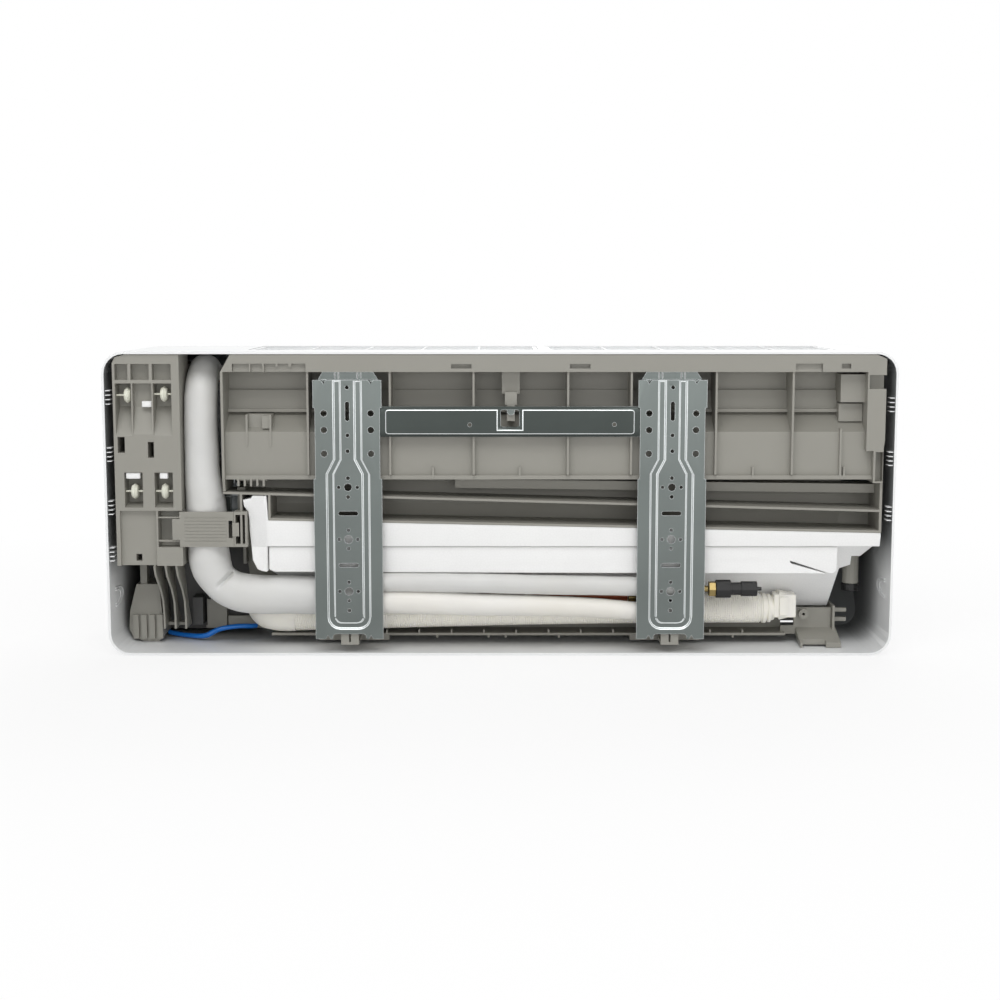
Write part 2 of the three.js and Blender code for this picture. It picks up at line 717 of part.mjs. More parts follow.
function makeChassis() {
  const tongue = box(chassisLeft, chassisRight, throat - skin, throat, ledgeFoot - 1, ledgeFoot + 16)
  const body = union([
    ...backWall(),
    tongue,
    ...chassisShelves(),
    ...chassisRibs(),
    ...bearingWalls(),
    ...endPlates(),
    ...chassisDetails(),
    clipFrame(),
    ...bottomRail(),
    farFoot(),
    drainSpout(),
    motorBed(),
  ])
  return cut(body, [...railCuts(), ...axleHoles(), ...vaneHoles()])
}
add(unit, 'chassis', makeChassis(), finish.chassis)


// ---- Evaporator, its end sheet with the return bends, and the pipe from it -------------------------
const coilLine = [
  [-40, -96],
  [-96, -20],
  [front + 19, -86],
  [front + 19, -160],
]
const sheetX = bearingRight - 14
const bendRadius = 9.5

add(unit, 'evaporator', barX(band(coilLine, coilThickness), bearingLeft + gap, sheetX), finish.aluminium)

function returnBends() {
  const middle = band(coilLine, coilThickness / 2).slice(coilLine.length).reverse()
  const counts = [2, 2, 2]
  return counts.flatMap((count, leg) => {
    const [a, b] = [middle[leg], middle[leg + 1]]
    const length = Math.hypot(b[0] - a[0], b[1] - a[1])
    const along = [(b[0] - a[0]) / length, (b[1] - a[1]) / length]
    return Array.from({ length: count }, (_, i) => {
      const centre = ((i + 0.5) / count) * length
      const points = Array.from({ length: 5 }, (_, k) => {
        const angle = (k / 4) * Math.PI
        const s = centre - bendRadius * Math.cos(angle)
        const x = sheetX + gap + 2 + 7 * Math.sin(angle)
        return [x, a[0] + along[0] * s, a[1] + along[1] * s]
      })
      return tube(points, 3.4, 5, 4)
    })
  })
}
const endSheet = barX(band(coilLine, coilThickness), sheetX + gap, sheetX + gap + 2.5)
add(unit, 'coil_end_sheet', union([endSheet, ...returnBends()]), finish.copper)

// ---- Piping: the lagged bundle, the two sleeves it splits into, and the bare pipe between them -----
const bundleX = (serviceLeft + chassisRight) / 2
const bundleY = -6.5 - bundleRadius
const bundleZ = -249
const bundleEnd = bracketRight - 4
const sleeveY = -14.6

const bundlePath = [
  [bundleX, -74, -27],
  [bundleX, -56, -27],
  [bundleX, -40, -30],
  [bundleX, bundleY - 3, -44],
  [bundleX, bundleY, -62],
  [bundleX, bundleY, -120],
  [bundleX, bundleY, -190],
  [bundleX, bundleY, -214],
  [bundleX - 5, bundleY, -231],
  [bundleX - 17, bundleY, -243.5],
  [bundleX - 34, bundleY + 1, bundleZ],
  [bundleX - 60, bundleY + 1.5, bundleZ],
  [bundleX - 100, bundleY + 1.5, bundleZ],
  [bundleEnd, bundleY + 1.5, bundleZ],
]
add(unit, 'pipe_bundle', tube(bundlePath, bundleRadius, 12, 22), finish.sleeve)

const sleeveStart = bundleEnd - 2 * gap
const upperSleevePath = [
  [sleeveStart, sleeveY, -233.7],
  [sleeveStart - 12, sleeveY, -233.7],
  [99, sleeveY, -234.4],
  [0, sleeveY, -236.7],
  [-62, sleeveY, -239.2],
  [-141, sleeveY, -240.5],
  [-195, sleeveY, -243],
]
const lowerSleevePath = [
  [sleeveStart, sleeveY, -256],
  [sleeveStart - 12, sleeveY, -256],
  [99, sleeveY, -256.6],
  [0, sleeveY, -259],
  [-62, sleeveY, -261],
  [-141, sleeveY, -266.5],
  [-190, sleeveY, -268],
]
add(unit, 'upper_sleeve', tube(upperSleevePath, sleeveRadius, 10, 8), finish.sleeve)
add(unit, 'lower_sleeve', tube(lowerSleevePath, sleeveRadius, 10, 8), finish.sleeve)

const barePath = [
  [sleeveStart, sleeveY - 17, -249.6],
  [sleeveStart - 12, sleeveY - 17, -249.6],
  [60, sleeveY - 17, -249],
  [-40, sleeveY - 16, -252],
  [-132, sleeveY - 15, -253.5],
]
add(unit, 'bare_pipe', tube(barePath, pipeRadius, 8, 6), finish.copper)

const headerPath = [
  [bundleX, -75, -27],
  [bundleX, -86, -28],
  [bundleX - 10, headerY, -32],
  [bundleX - 26, headerY, headerZ],
  [sheetX + 2 * gap + 2.5, headerY, headerZ],
]
add(unit, 'header_pipe', tube(headerPath, pipeRadius, 6, 8), finish.copper)

// Flare nut with its cap on the end of each pipe.
function flareNut(x, y, z) {
  return barX(circle(y, z, 8.2, 6), x - 7, x).subtract(rodX(y, z, 3.4, x - 20, x - 3, 8))
}

function flareCap(x, y, z) {
  return union([
    rodX(y, z, 9.4, x - 15, x, 12),
    rodX(y, z, 6.6, x - 27, x - 14, 12),
    rodX(y, z, 7.8, x - 42, x - 26, 12),
    rodX(y, z, 2, x - 47, x - 41, 6),
  ])
}
const nutX = -214
const nutZ = -243
const hiddenNutX = -133
add(unit, 'stub_pipe', rodX(sleeveY, nutZ, 3.2, nutX + gap, -196, 10), finish.brass)
add(unit, 'flare_nut', flareNut(nutX, sleeveY, nutZ), finish.brass)
add(unit, 'flare_cap', flareCap(nutX - 7 - gap, sleeveY, nutZ), finish.black)
add(unit, 'inner_flare_nut', flareNut(hiddenNutX, sleeveY - 15, -253.5), finish.brass)
add(unit, 'inner_flare_cap', flareCap(hiddenNutX - 7 - gap, sleeveY - 15, -253.5), finish.black)

// ---- Drain hose: ribbed tube with its bore, the smooth elbow and the soft end cuff ------------------
const hoseStart = 214
const hoseEnd = -272

function hoseCentre(x) {
  const t = (hoseStart - x) / (hoseStart - hoseEnd)
  const bend = Math.max(0, (x - 110) / (hoseStart - 110))
  return [-49 - 4 * bend * bend, -278.5 + 9 * (1 - (1 - t) ** 2)]
}

function ribbedHose() {
  const sides = 8
  const points = []
  const faces = []
  const ring = (x, radius) => {
    const [y, z] = hoseCentre(x)
    const first = points.length / 3
    for (const [u, v] of circle(y, z, radius, sides)) points.push(x, u, v)
    return first
  }
  const join = (a, b) => {
    for (let i = 0; i < sides; i++) {
      const j = (i + 1) % sides
      faces.push(a + i, b + j, b + i, a + i, a + j, b + j)
    }
  }
  const step = (hoseStart - hoseEnd) / (2 * ribCount)
  const outer = Array.from({ length: 2 * ribCount + 1 }, (_, i) =>
    ring(hoseStart - i * step, hoseRadius + (i % 2) * ribHeight),
  )
  const inner = Array.from({ length: Math.floor(ribCount / 5) + 1 }, (_, i) => {
    const last = Math.floor(ribCount / 5)
    return ring(hoseStart - (i / last) * (hoseStart - hoseEnd), hoseRadius - hoseWall)
  })
  for (let i = 1; i < outer.length; i++) join(outer[i], outer[i - 1])
  for (let i = 1; i < inner.length; i++) join(inner[i - 1], inner[i])
  join(outer[0], inner[0])
  join(inner.at(-1), outer.at(-1))
  const geometry = new THREE.BufferGeometry()
  geometry.setAttribute('position', new THREE.Float32BufferAttribute(points, 3))
  geometry.setIndex(faces)
  return solid(geometry)
}
add(unit, 'drain_hose', ribbedHose(), finish.hose)

function hoseElbow() {
  const [y, z] = hoseCentre(hoseStart)
  const path = [
    [hoseStart + 2 * gap, y, z],
    [hoseStart + 9, y, z],
    [hoseStart + 22, y - 3, z],
    [hoseStart + 34, y - 12, z + 2],
    [hoseStart + 40, y - 25, z + 9],
    [hoseStart + 41, y - 36, z + 16],
  ]
  const bore = [[hoseStart - 4, y, z], ...path.slice(1, -1), [hoseStart + 42, y - 41, z + 20]]
  return tube(path, hoseRadius + 1.8, 10, 5).subtract(tube(bore, hoseRadius - 1.6, 10, 6))
}
add(unit, 'hose_elbow', hoseElbow(), finish.hose)

function hoseCuff() {
  const [y, z] = hoseCentre(hoseEnd)
  const x = hoseEnd - gap
  const rings = union([
    rodX(y, z, hoseRadius - 1.2, x - 14, x, 12),
    rodX(y, z, hoseRadius + 0.8, x - 6.5, x - 2.5, 12),
    rodX(y, z, hoseRadius + 0.2, x - 12.5, x - 8.5, 12),
    box(x - 36, x - 13, y - 8, y + 13, z - 8, z + 16.5),
  ])
  return rings.subtract(rodX(y, z, hoseRadius - 4, x - 60, x + 20, 12))
}
add(unit, 'hose_cuff', hoseCuff(), finish.hose)
add(unit, 'drain_plug', rodZ(spoutX, spoutY, 9.6, -254, -246 - gap, 14), finish.black)

// ---- Foam block behind the scroll -----------------------------------------------------------------
function foamBlock() {
  const line = scrollLine()
  const scroll = band(line, 1.5 * gap).slice(line.length).reverse()
  const foot = -270.5
  const kept = scroll.filter(([, v]) => v > foot)
  const next = scroll[kept.length]
  const last = kept.at(-1)
  const share = (last[1] - foot) / (last[1] - next[1])
  const meet = [last[0] + (next[0] - last[0]) * share, foot]
  const section = [
    [-8, -140],
    [throat + gap, -140],
    ...kept,
    meet,
    [-69, foot],
    [-30, -201],
    [-8, -198],
  ]
  const top = (x) => lowerShelf - gap + foamSlope * x
  const outline = [
    [235.8, top(235.8)],
    [237.5, -146],
    [261, -150.4],
    [260, -157],
    [256, -161.5],
    [253, -185],
    [249.5, -226],
    [242, -227],
    [225, -240],
    [222, foot],
    [-346.7, foot],
    [-353.8, -226.7],
    [-364.8, -222.5],
    [-364.5, -212.5],
    [-373.5, -212.5],
    [-386.8, -199.3],
    [-387.8, -187.5],
    [-387.5, top(-387.5)],
  ]
  const spoutBay = box(-392, bearingLeft, -120, spoutY + 9.5, foot - 1, -204)
  return barX(section, -392, 268).intersect(plateY(outline, -300, 20)).subtract(spoutBay)
}
add(unit, 'foam_block', foamBlock(), finish.foam)

// ---- Service block beside the pipes, with its rollers and pads -------------------------------------
const blockFoot = -217.5
const blockBack = rim - 2
const blockDepth = 50
const rollerRadius = 8
const rollerY = blockBack - rollerRadius
const rollers = [
  { x: 375.7, z: -44, low: 371, high: 387 },
  { x: 339, z: -43, low: 330.5, high: 349 },
  { x: 370.8, z: -141.7, low: 361.5, high: 380 },
  { x: 340.1, z: -141.7, low: 331, high: 349.5 },
]

function servicePockets() {
  const slope = (x0, x1, top, depth, foot, run) =>
    barX(
      [[blockBack + 1, top], [blockBack - depth, top], [blockBack - depth, foot + run], [blockBack + 1, foot]],
      x0,
      x1,
    )
  const head = [[374, 387], [352.6, 371], [330.5, 349.5]].map(([x0, x1]) =>
    box(x0, x1, blockBack - 10, 1, -28.5, -12.5),
  )
  const upper = [slope(371, 387, -32, 20, -86, 30), slope(330.5, 349, -32, 20, -86, 30)]
  const middle = slope(350.5, 369.5, -32, 10, -86, 30)
  const lower = [
    slope(361.5, 380, -122, 20, -158, 4),
    slope(331, 349.5, -122, 20, -158, 4),
  ]
  const slots = [box(378.6, 385.7, -40, 1, -102, -86), box(349.4, 355.4, -30, 1, -107, -91)]
  const channel = [
    box(349, serviceRight - 4, blockBack - 5, 1, blockFoot - 1, -161),
    box(serviceLeft - 1, 347, blockBack - 18, 1, strapFoot - 0.4, -161),
    box(365, 371, blockBack - 30, 1, -213, -206),
  ]
  const corner = plateY(
    [[serviceRight + 1, 1], [serviceRight + 1, -14], [serviceRight - 3, -5.5], [serviceRight - 14, -2.7], [370, 1]],
    -80,
    1,
  )
  return [...head, ...upper, middle, ...lower, ...slots, ...channel, corner]
}

const clipPinX = serviceLeft + 8
const clipPinY = blockBack - 4
const clipPinTop = strapTop - 7
const clipPinFoot = strapFoot + 7

function serviceBlock() {
  const outer = box(serviceLeft, serviceRight, blockBack - blockDepth, blockBack, blockFoot, innerTop - gap)
  const hollow = box(
    serviceLeft + skin,
    serviceRight - skin,
    blockBack - blockDepth - 1,
    blockBack - 24,
    blockFoot + skin,
    innerTop - gap - skin,
  )
  const rib = [[blockBack - 1, blockFoot + 4], [blockBack - 1, blockFoot], [-12, -229], [-34, -247], [-46, -262],
    [-50, -280], [-50, -292], [-78, -292], [-60, -262], [-48, -232], [-40, blockFoot + 4]]
  const ribs = [352.5, 341, 330].map((x) => barX(rib, x - 1, x + 1))
  const tie = box(329, 353.5, -76, -66, -291, -288)
  const lugs = [clipPinTop + gap, clipPinFoot - gap - 1.5].map((z) =>
    box(clipPinX - 5, 347.5, clipPinY - 4, clipPinY + 3, z, z + 1.5),
  )
  const body = cut(union([outer, ...ribs, tie]), [hollow, ...servicePockets()])
  const axles = rollers.map(({ x, z, low, high }) => {
    const reach = [low - 1.2 - gap, high + 1.2 + gap]
    return rodX(rollerY, z, 1.3 + gap, reach[0], reach[1], 8)
  })
  const hinge = rodZ(clipPinX, clipPinY, 1.6 + gap, strapFoot, strapTop, 10)
  return cut(union([body, ...lugs]), [...axles, hinge])
}
add(unit, 'service_block', serviceBlock(), finish.chassis)

rollers.forEach(({ x, z, low, high }, i) => {
  const wheel = [
    rodX(0, 0, rollerRadius - 1.4, -3.4, 3.4, 10),
    rodX(0, 0, rollerRadius, -1.4, 1.4, 10),
  ]
  const body = union([...wheel, rodX(0, 0, 1.2, low - x - 1.2, high - x + 1.2, 6)])
  const mesh = add(unit, `roller_${i + 1}`, body, finish.pale)
  mesh.position.set(x, rollerY, z)
})

const pads = [
  box(349.5 + 1.6, 361, blockBack - 10 + gap, blockBack - 3, -56, -50),
  box(364.2, 378.4, blockBack - 7, blockBack - 1, -128.4, -122 - gap),
  box(336.4, 344.4, blockBack - 7, blockBack - 1, -128.4, -122 - gap),
]
pads.forEach((pad, i) => add(unit, `foam_pad_${i + 1}`, pad, finish.foam))

// ---- Pipe clip: a strap on an upright pin that hooks into the frame --------------------------------
function pipeClip() {
  const thick = 2.3
  const strapFront = strapBack - thick
  const strap = box(270 + gap, clipPinX - 5.4, strapFront, strapBack, strapFoot, strapTop)
  const grooves = Array.from({ length: 8 }, (_, i) => strapFoot + 6 + i * 3.4).map((z) =>
    box(277, 320, strapBack - 0.5, strapBack + 1, z - 0.5, z + 0.5),
  )
  const window = box(271.5, 275.5, -20, 1, strapFoot + 9, strapTop - 9)
  const neck = box(clipPinX - 6, clipPinX, strapFront, strapBack, clipPinFoot + gap, clipPinTop - gap)
  const knuckle = rodZ(clipPinX, clipPinY, 3, clipPinFoot + gap, clipPinTop - gap, 10)
  const joint = box(clipPinX - 2, clipPinX + 2, clipPinY, strapBack, clipPinFoot + gap, clipPinTop - gap)
  const pin = rodZ(clipPinX, clipPinY, 1.5, clipPinFoot - gap - 1, clipPinTop + gap + 1, 8)
  const hook = [
    box(264.8, 275, strapBack + gap, strapBack + gap + 0.6, strapFoot + 11, strapTop - 11),
    box(270 + gap, 275, strapBack - 1, strapBack + gap + 0.6, strapFoot + 11, strapTop - 11),
  ]
  return union([cut(union([strap, neck, knuckle, joint, ...hook]), [...grooves, window]), pin])
}
add(unit, 'pipe_clip', pipeClip(), finish.chassis)

// ---- Drain pan with the upper wall of the air duct --------------------------------------------------
function drainPan() {
  const trough = band([[-155, -160], [-155, -176], [front + 12, -176], [front + 9, -162]], skin)
  const duct = band([[-153.5, -174], [-170, -212], [innerFront + 1, -246]], skin)
  return union([
    barX(trough, bearingLeft + gap, bearingRight - gap),
    barX(duct, bearingLeft + gap, bearingRight - gap),
  ])
}
add(unit, 'drain_pan', drainPan(), finish.chassis)

// ---- Cross-flow fan, its motor, clamp and far bearing -----------------------------------------------
const fanLeft = bearingLeft + 3
const fanRight = bearingRight - 3

function fanBlade(angle) {
  const at = (radius, turn) => [
    fanY + radius * Math.cos(angle + turn),
    fanZ + radius * Math.sin(angle + turn),
  ]
  const line = [at(fanRadius - 1, 0.2), at(fanRadius - 7, 0.1), at(fanRadius - 12, -0.03)]
  return barX(band(line, 1.5), fanLeft, fanRight)
}

function makeFan() {
  const blades = Array.from({ length: bladeCount }, (_, i) => fanBlade((i * 2 * Math.PI) / bladeCount))
  const span = fanRight - fanLeft
  const middle = fanLeft + span / 2
  const discs = [
    rodX(fanY, fanZ, fanRadius, fanLeft, fanLeft + 2, 16),
    rodX(fanY, fanZ, fanRadius, middle - 1, middle + 1, 16),
    rodX(fanY, fanZ, fanRadius, fanRight - 2, fanRight, 16),
  ]
  const shafts = [
    rodX(fanY, fanZ, 4, bearingLeft - skin - 5, fanLeft + 1, 12),
    rodX(fanY, fanZ, 4, fanRight - 1, bearingRight + skin + 14, 12),
    rodX(fanY, fanZ, 8, fanRight - 1, bearingRight, 12),
  ]
  return union([...blades, ...discs, ...shafts])
}
add(unit, 'fan', makeFan(), finish.dark)

const bearing = rodX(fanY, fanZ, 11 - gap, bearingLeft - skin - 3, bearingLeft, 16)
  .subtract(rodX(fanY, fanZ, 4 + gap, bearingLeft - 20, bearingLeft + 5, 12))
add(unit, 'fan_bearing', bearing, finish.black)

const motorLeft = bearingRight + skin + 1
const motorRight = serviceLeft - 3
const motorBody = union([
  rodX(fanY, fanZ, motorRadius, motorLeft + 6, motorRight - 6, motorSides),
  rodX(fanY, fanZ, motorRadius - 8, motorLeft, motorRight, motorSides),
]).subtract(rodX(fanY, fanZ, 4 + gap, motorLeft - 5, motorLeft + 18, 12))
add(unit, 'fan_motor', motorBody, finish.aluminium)

function motorClamp() {
  const [x0, x1] = [motorLeft + 14, motorLeft + 28]
  const bedTop = motorFoot + 10
  const arch = rodX(fanY, fanZ, motorRadius + 3.5, x0, x1, motorSides)
    .subtract(rodX(fanY, fanZ, motorRadius + gap, x0 - 1, x1 + 1, motorSides))
    .trimByPlane([0, 0, 1], fanZ - 1)
  const legs = [-1, 1].map((side) => {
    const near = fanY + side * (motorRadius + gap)
    const far = fanY + side * (motorRadius + 6)
    return box(x0, x1, Math.min(near, far), Math.max(near, far), bedTop + gap, fanZ)
  })
  return union([arch, ...legs])
}
add(unit, 'motor_clamp', motorClamp(), finish.steel)

function motorShroud() {
  const [back, front] = [shroudBack, shroudBack - 2]
  const left = bearingRight + 4 + gap
  const upper = box(left, serviceLeft + 1, front, back, shroudFoot, motorFoot - 6 - gap)
  const lower = box(left, serviceRight - 2, front, back, shroudFoot, blockFoot - 1)
  const column = box(serviceLeft - 5, serviceLeft + 5.9, back - 1, back + 22, -294, -264)
  return union([upper, lower, column])
}
add(unit, 'motor_shroud', motorShroud(), finish.black)

// ---- Louver, its motor, and the coupled vanes (outlet frame) ----------------------------------------
const louverLeft = bearingLeft + 1
const louverRight = bearingRight - 1
const axisY = louverAxisInward
const axisZ = -louverAxisAlong

function makeLouver() {
  const top = -lipUpper - gap
  const foot = -lipUpper - louverChord - 1
  const blade = barX([[0, top], [0, foot + 2], [1, foot], [louverThickness, foot], [louverThickness, top]],
    louverLeft, louverRight)
  const middle = (louverLeft + louverRight) / 2
  const arm = [[louverThickness - 1, foot + 3], [axisY, axisZ - 4], [axisY + 4, axisZ], [axisY, axisZ + 4],
    [louverThickness - 1, foot + 24]]
  const arms = [[louverLeft, louverLeft + 3], [louverRight - 3, louverRight], [middle - 1.5, middle + 1.5]]
    .map(([x0, x1]) => barX(arm, x0, x1))
  const pins = [
    rodX(axisY, axisZ, 3, bearingLeft - skin, louverLeft + 1, 12),
    rodX(axisY, axisZ, 3, louverRight - 1, bearingRight + skin, 12),
  ]
  return union([blade, ...arms, ...pins])
}
add(chin, 'louver', makeLouver(), finish.casing)

const louverMotorX = bearingRight + skin + gap
const louverMotor = rodX(axisY, axisZ, 5.4, louverMotorX, louverMotorX + 9, 16)
add(chin, 'louver_motor', louverMotor, finish.aluminium)

const linkArm = 14
const linkY = vanePivot + linkArm
const linkTop = -29
const linkFoot = -35
const vaneTop = -3
const vaneFoot = -64
const linkPinRadius = 1.2

function makeVane() {
  const half = vaneThickness / 2
  const plate = barX([[31, vaneFoot], [37, vaneTop], [55, vaneTop], [55, vaneFoot]], -half, half)
  const notch = box(-5, 5, vanePivot + 7, 60, linkFoot - 3, linkTop + 3)
  const linkPin = rodZ(0, linkY, linkPinRadius, linkFoot - 4, linkTop + 4, 6)
  const boss = rodZ(0, vanePivot, 4, vaneFoot - 4.8, vaneFoot + 4, 6)
  const pin = rodZ(0, vanePivot, vanePinRadius, vaneFoot - 7.4, vaneFoot, 6)
  return union([plate.subtract(notch), linkPin, boss, pin])
}
const vane = makeVane()
vaneSpots.forEach((x, i) => {
  add(chin, `vane_${i + 1}`, vane, finish.chassis).position.x = x
})

function vaneLink() {
  const bar = box(vaneSpots[0] - 8, vaneSpots.at(-1) + 8, linkY - 6, linkY + 6, linkFoot, linkTop)
  const reach = linkPinRadius + 0.7
  const slots = vaneSpots.map((x) => box(x - reach, x + reach, linkY - reach - 2, linkY + reach, -50, -10))
  return cut(bar, slots)
}
add(chin, 'vane_link', vaneLink(), finish.chassis)

// ---- Filters lying in the top opening ---------------------------------------------------------------
function makeFilter(x0, x1) {
  const top = -gap
  const y0 = filterFront + gap
  const y1 = filterBack - gap
  const frame = box(x0 + gap, x1 - gap, y0, y1, top - filterThickness, top)
  const columns = 5
  const rows = 2
  const [width, depth] = [(x1 - x0 - 8) / columns, (y1 - y0 - 8) / rows]
  const windows = Array.from({ length: columns * rows }, (_, i) => {
    const x = x0 + 4 + (i % columns) * width
    const y = y0 + 4 + Math.floor(i / columns) * depth
    return box(x + 1, x + width - 1, y + 1, y + depth - 1, -10, 1)
  })
  return cut(frame, windows)
}
const sides = ['left', 'right']
filterSpans.forEach(([x0, x1], i) => add(unit, `filter_${sides[i]}`, makeFilter(x0, x1), finish.casing))

// ---- Electrics in front of the service block ---------------------------------------------------------
const controlLeft = serviceLeft + 4
const controlRight = innerHalf - 4
const controlBack = blockBack - blockDepth - gap
const controlFront = innerFront + 14
const controlTop = -16
const controlFoot = -205
const buttonX = 345
const buttonZ = controlFoot + 25

function controlBox() {
  const outer = box(controlLeft, controlRight, controlFront, controlBack, controlFoot, controlTop)
  const hollow = box(
    controlLeft + skin,
    controlRight - skin,
    controlFront - 1,
    controlBack - skin,
    controlFoot + skin,
    controlTop - skin,
  )
  return outer.subtract(hollow)
}
add(unit, 'control_box', controlBox(), finish.chassis)

const coverBack = controlFront - gap
const controlCover = union([
  box(controlLeft - 12, controlRight, coverBack - skin, coverBack, controlFoot, controlTop),
  box(buttonX - 14, buttonX + 14, coverBack - 8, coverBack - 1, controlFoot + 12, controlFoot + 38),
]).subtract(rodY(buttonX, buttonZ, 4 + gap, coverBack - 20, coverBack + 1, 12))
add(unit, 'control_cover', controlCover, finish.casing)

const board = box(
  controlLeft + skin + gap,
  controlRight - skin - gap,
  controlBack - skin - gap - 1.6,
  controlBack - skin - gap,
  controlFoot + 12,
  controlTop - 12,
)
add(unit, 'control_board', board, finish.board)

const buttonCap = union([
  rodY(buttonX, buttonZ, 4, coverBack - 10.5, coverBack + 1, 12),
  rodY(buttonX, buttonZ, 5.5, coverBack + gap, coverBack + 2, 12),
])
add(unit, 'manual_button', buttonCap, finish.dark)

const terminalFoot = innerBottom + gap
const terminalRear = controlBack - 0.5
function terminalBlock() {
  const body = plateY(
    [[355, -300], [360, terminalFoot], [376, terminalFoot], [388, -302], [391.6, -294], [390.5, -275], [383, -246],
      [359, -246]],
    terminalRear - 44,
    terminalRear - 4,
  )
  const fingers = [358, 366.5, 375, 383.5].map((x) =>
    box(x - 2.6, x + 3.2, terminalRear - 10, terminalRear, terminalFoot + 3.5, -278),
  )
  const post = box(372, 379, terminalRear - 20, terminalRear - 6, -250, blockFoot - gap)
  return union([body, ...fingers, post])
}
add(unit, 'terminal_cover', terminalBlock(), finish.chassis)

const leadPath = [
  [355 - gap, terminalRear - 30, -303],
  [338, -78, -304.2],
  [322, -66, -304.2],
  [308, -60, -304.2],
  [296, -60, -300],
  [282, -64, -298],
  [268, -72, -299],
]
add(unit, 'earth_lead', tube(leadPath, 2.4, 6, 12), finish.lead)

// ---- Centre screw in the crossbar's window -------------------------------------------------------------
const centreScrew = union([
  rodY(screwX, screwZ, 4, -8 + gap, -5.4, 12),
  rodY(screwX, screwZ, 1.6, -14, -7, 8),
])
add(unit, 'centre_screw', centreScrew, finish.steel)

export default model
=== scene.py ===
import json
import math

import bmesh
import bpy
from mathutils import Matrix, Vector

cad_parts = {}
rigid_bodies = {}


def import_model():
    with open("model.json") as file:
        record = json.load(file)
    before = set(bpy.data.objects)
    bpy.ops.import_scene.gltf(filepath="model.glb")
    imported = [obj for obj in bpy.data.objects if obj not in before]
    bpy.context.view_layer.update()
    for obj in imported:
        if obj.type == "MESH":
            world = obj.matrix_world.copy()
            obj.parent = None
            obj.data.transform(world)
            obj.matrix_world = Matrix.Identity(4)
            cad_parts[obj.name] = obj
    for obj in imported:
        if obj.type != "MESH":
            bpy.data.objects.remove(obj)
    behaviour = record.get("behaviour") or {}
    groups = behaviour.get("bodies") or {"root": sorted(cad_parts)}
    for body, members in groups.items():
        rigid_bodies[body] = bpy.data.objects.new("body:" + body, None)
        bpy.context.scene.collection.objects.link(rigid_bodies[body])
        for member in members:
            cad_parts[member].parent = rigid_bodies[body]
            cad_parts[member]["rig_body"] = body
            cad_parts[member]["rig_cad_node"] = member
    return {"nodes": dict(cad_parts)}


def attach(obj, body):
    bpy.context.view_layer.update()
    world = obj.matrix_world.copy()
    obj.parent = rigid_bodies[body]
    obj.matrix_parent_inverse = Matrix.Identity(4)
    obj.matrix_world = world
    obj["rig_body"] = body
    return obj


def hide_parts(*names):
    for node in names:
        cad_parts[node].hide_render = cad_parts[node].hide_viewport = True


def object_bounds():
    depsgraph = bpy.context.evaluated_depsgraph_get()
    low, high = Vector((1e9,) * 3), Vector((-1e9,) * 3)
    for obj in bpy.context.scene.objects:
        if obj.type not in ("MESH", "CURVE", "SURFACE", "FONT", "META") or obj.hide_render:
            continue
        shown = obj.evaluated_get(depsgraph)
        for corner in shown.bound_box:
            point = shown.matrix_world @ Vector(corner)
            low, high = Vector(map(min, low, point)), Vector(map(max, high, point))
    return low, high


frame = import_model()
cad_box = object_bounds()

# ---- The view -------------------------------------------------------------------------------
# The unit is looked at from behind, a little from above, on a plain white floor. Wide soft lamps
# stand behind the camera, high and low, before the front of the unit, and over it.

VIEW_DISTANCE = 1.66306
VIEW_RISE = math.radians(7.1036)
VIEW_TARGET = Vector((0.0, -0.002, -0.06814))
FLOOR_DROP = 0.0006
FLOOR_SIZE = 30.0


def shade(red, green, blue):
    """The linear colour that shows as these levels on a screen."""
    levels = [level / 255 for level in (red, green, blue)]
    low = [level / 12.92 for level in levels]
    high = [((level + 0.055) / 1.055) ** 2.4 for level in levels]
    return tuple(a if level <= 0.04045 else b for a, b, level in zip(low, high, levels)) + (1.0,)


def join_up(tree, node, sockets):
    """Joins each named socket to another node's socket, or sets its value."""
    for name, value in sockets.items():
        if isinstance(value, bpy.types.NodeSocket):
            tree.links.new(value, node.inputs[name])
        else:
            node.inputs[name].default_value = value
    return node


def wire(tree, kind, sockets, **settings):
    """Adds a shader node with its settings and sockets."""
    node = tree.nodes.new("ShaderNode" + kind)
    for name, value in settings.items():
        setattr(node, name, value)
    return join_up(tree, node, sockets)


camera_data = bpy.data.cameras.new("camera")
camera_data.sensor_width = 36
camera_data.lens = 59.17
camera_data.clip_start = 0.05
camera_data.clip_end = 60
camera = bpy.data.objects.new("camera", camera_data)
camera.location = VIEW_TARGET + VIEW_DISTANCE * Vector((0, math.cos(VIEW_RISE), math.sin(VIEW_RISE)))
camera.rotation_euler = (math.radians(90) - VIEW_RISE, 0, math.radians(180))
bpy.context.scene.collection.objects.link(camera)
bpy.context.scene.camera = camera
bpy.context.scene.view_settings.view_transform = "Standard"


def soft_lamp(name, place, target, width, height, watts):
    bpy.ops.object.light_add(type="AREA", location=place)
    lamp = bpy.context.object
    lamp.name = name
    lamp.data.shape = "RECTANGLE"
    lamp.data.size = width
    lamp.data.size_y = height
    lamp.data.energy = watts
    lamp.rotation_euler = (Vector(place) - Vector(target)).to_track_quat("Z", "Y").to_euler()


soft_lamp("back lamp", (0.2, 1.8, 2.2), (0, 0, -0.1), 2.4, 1.4, 38)
soft_lamp("low back lamp", (-0.3, 2.8, 0.3), (0, 0, -0.1), 3.0, 0.8, 13)
soft_lamp("front lamp", (-0.7, -2.6, 1.6), (0, 0, -0.1), 2.4, 1.6, 34)
soft_lamp("top lamp", (0, 0.2, 2.8), (0, 0, 0), 2.0, 2.0, 8)

world = bpy.data.worlds.new("studio")
bpy.context.scene.world = world
world.use_nodes = True
sky = world.node_tree
sky.nodes.clear()


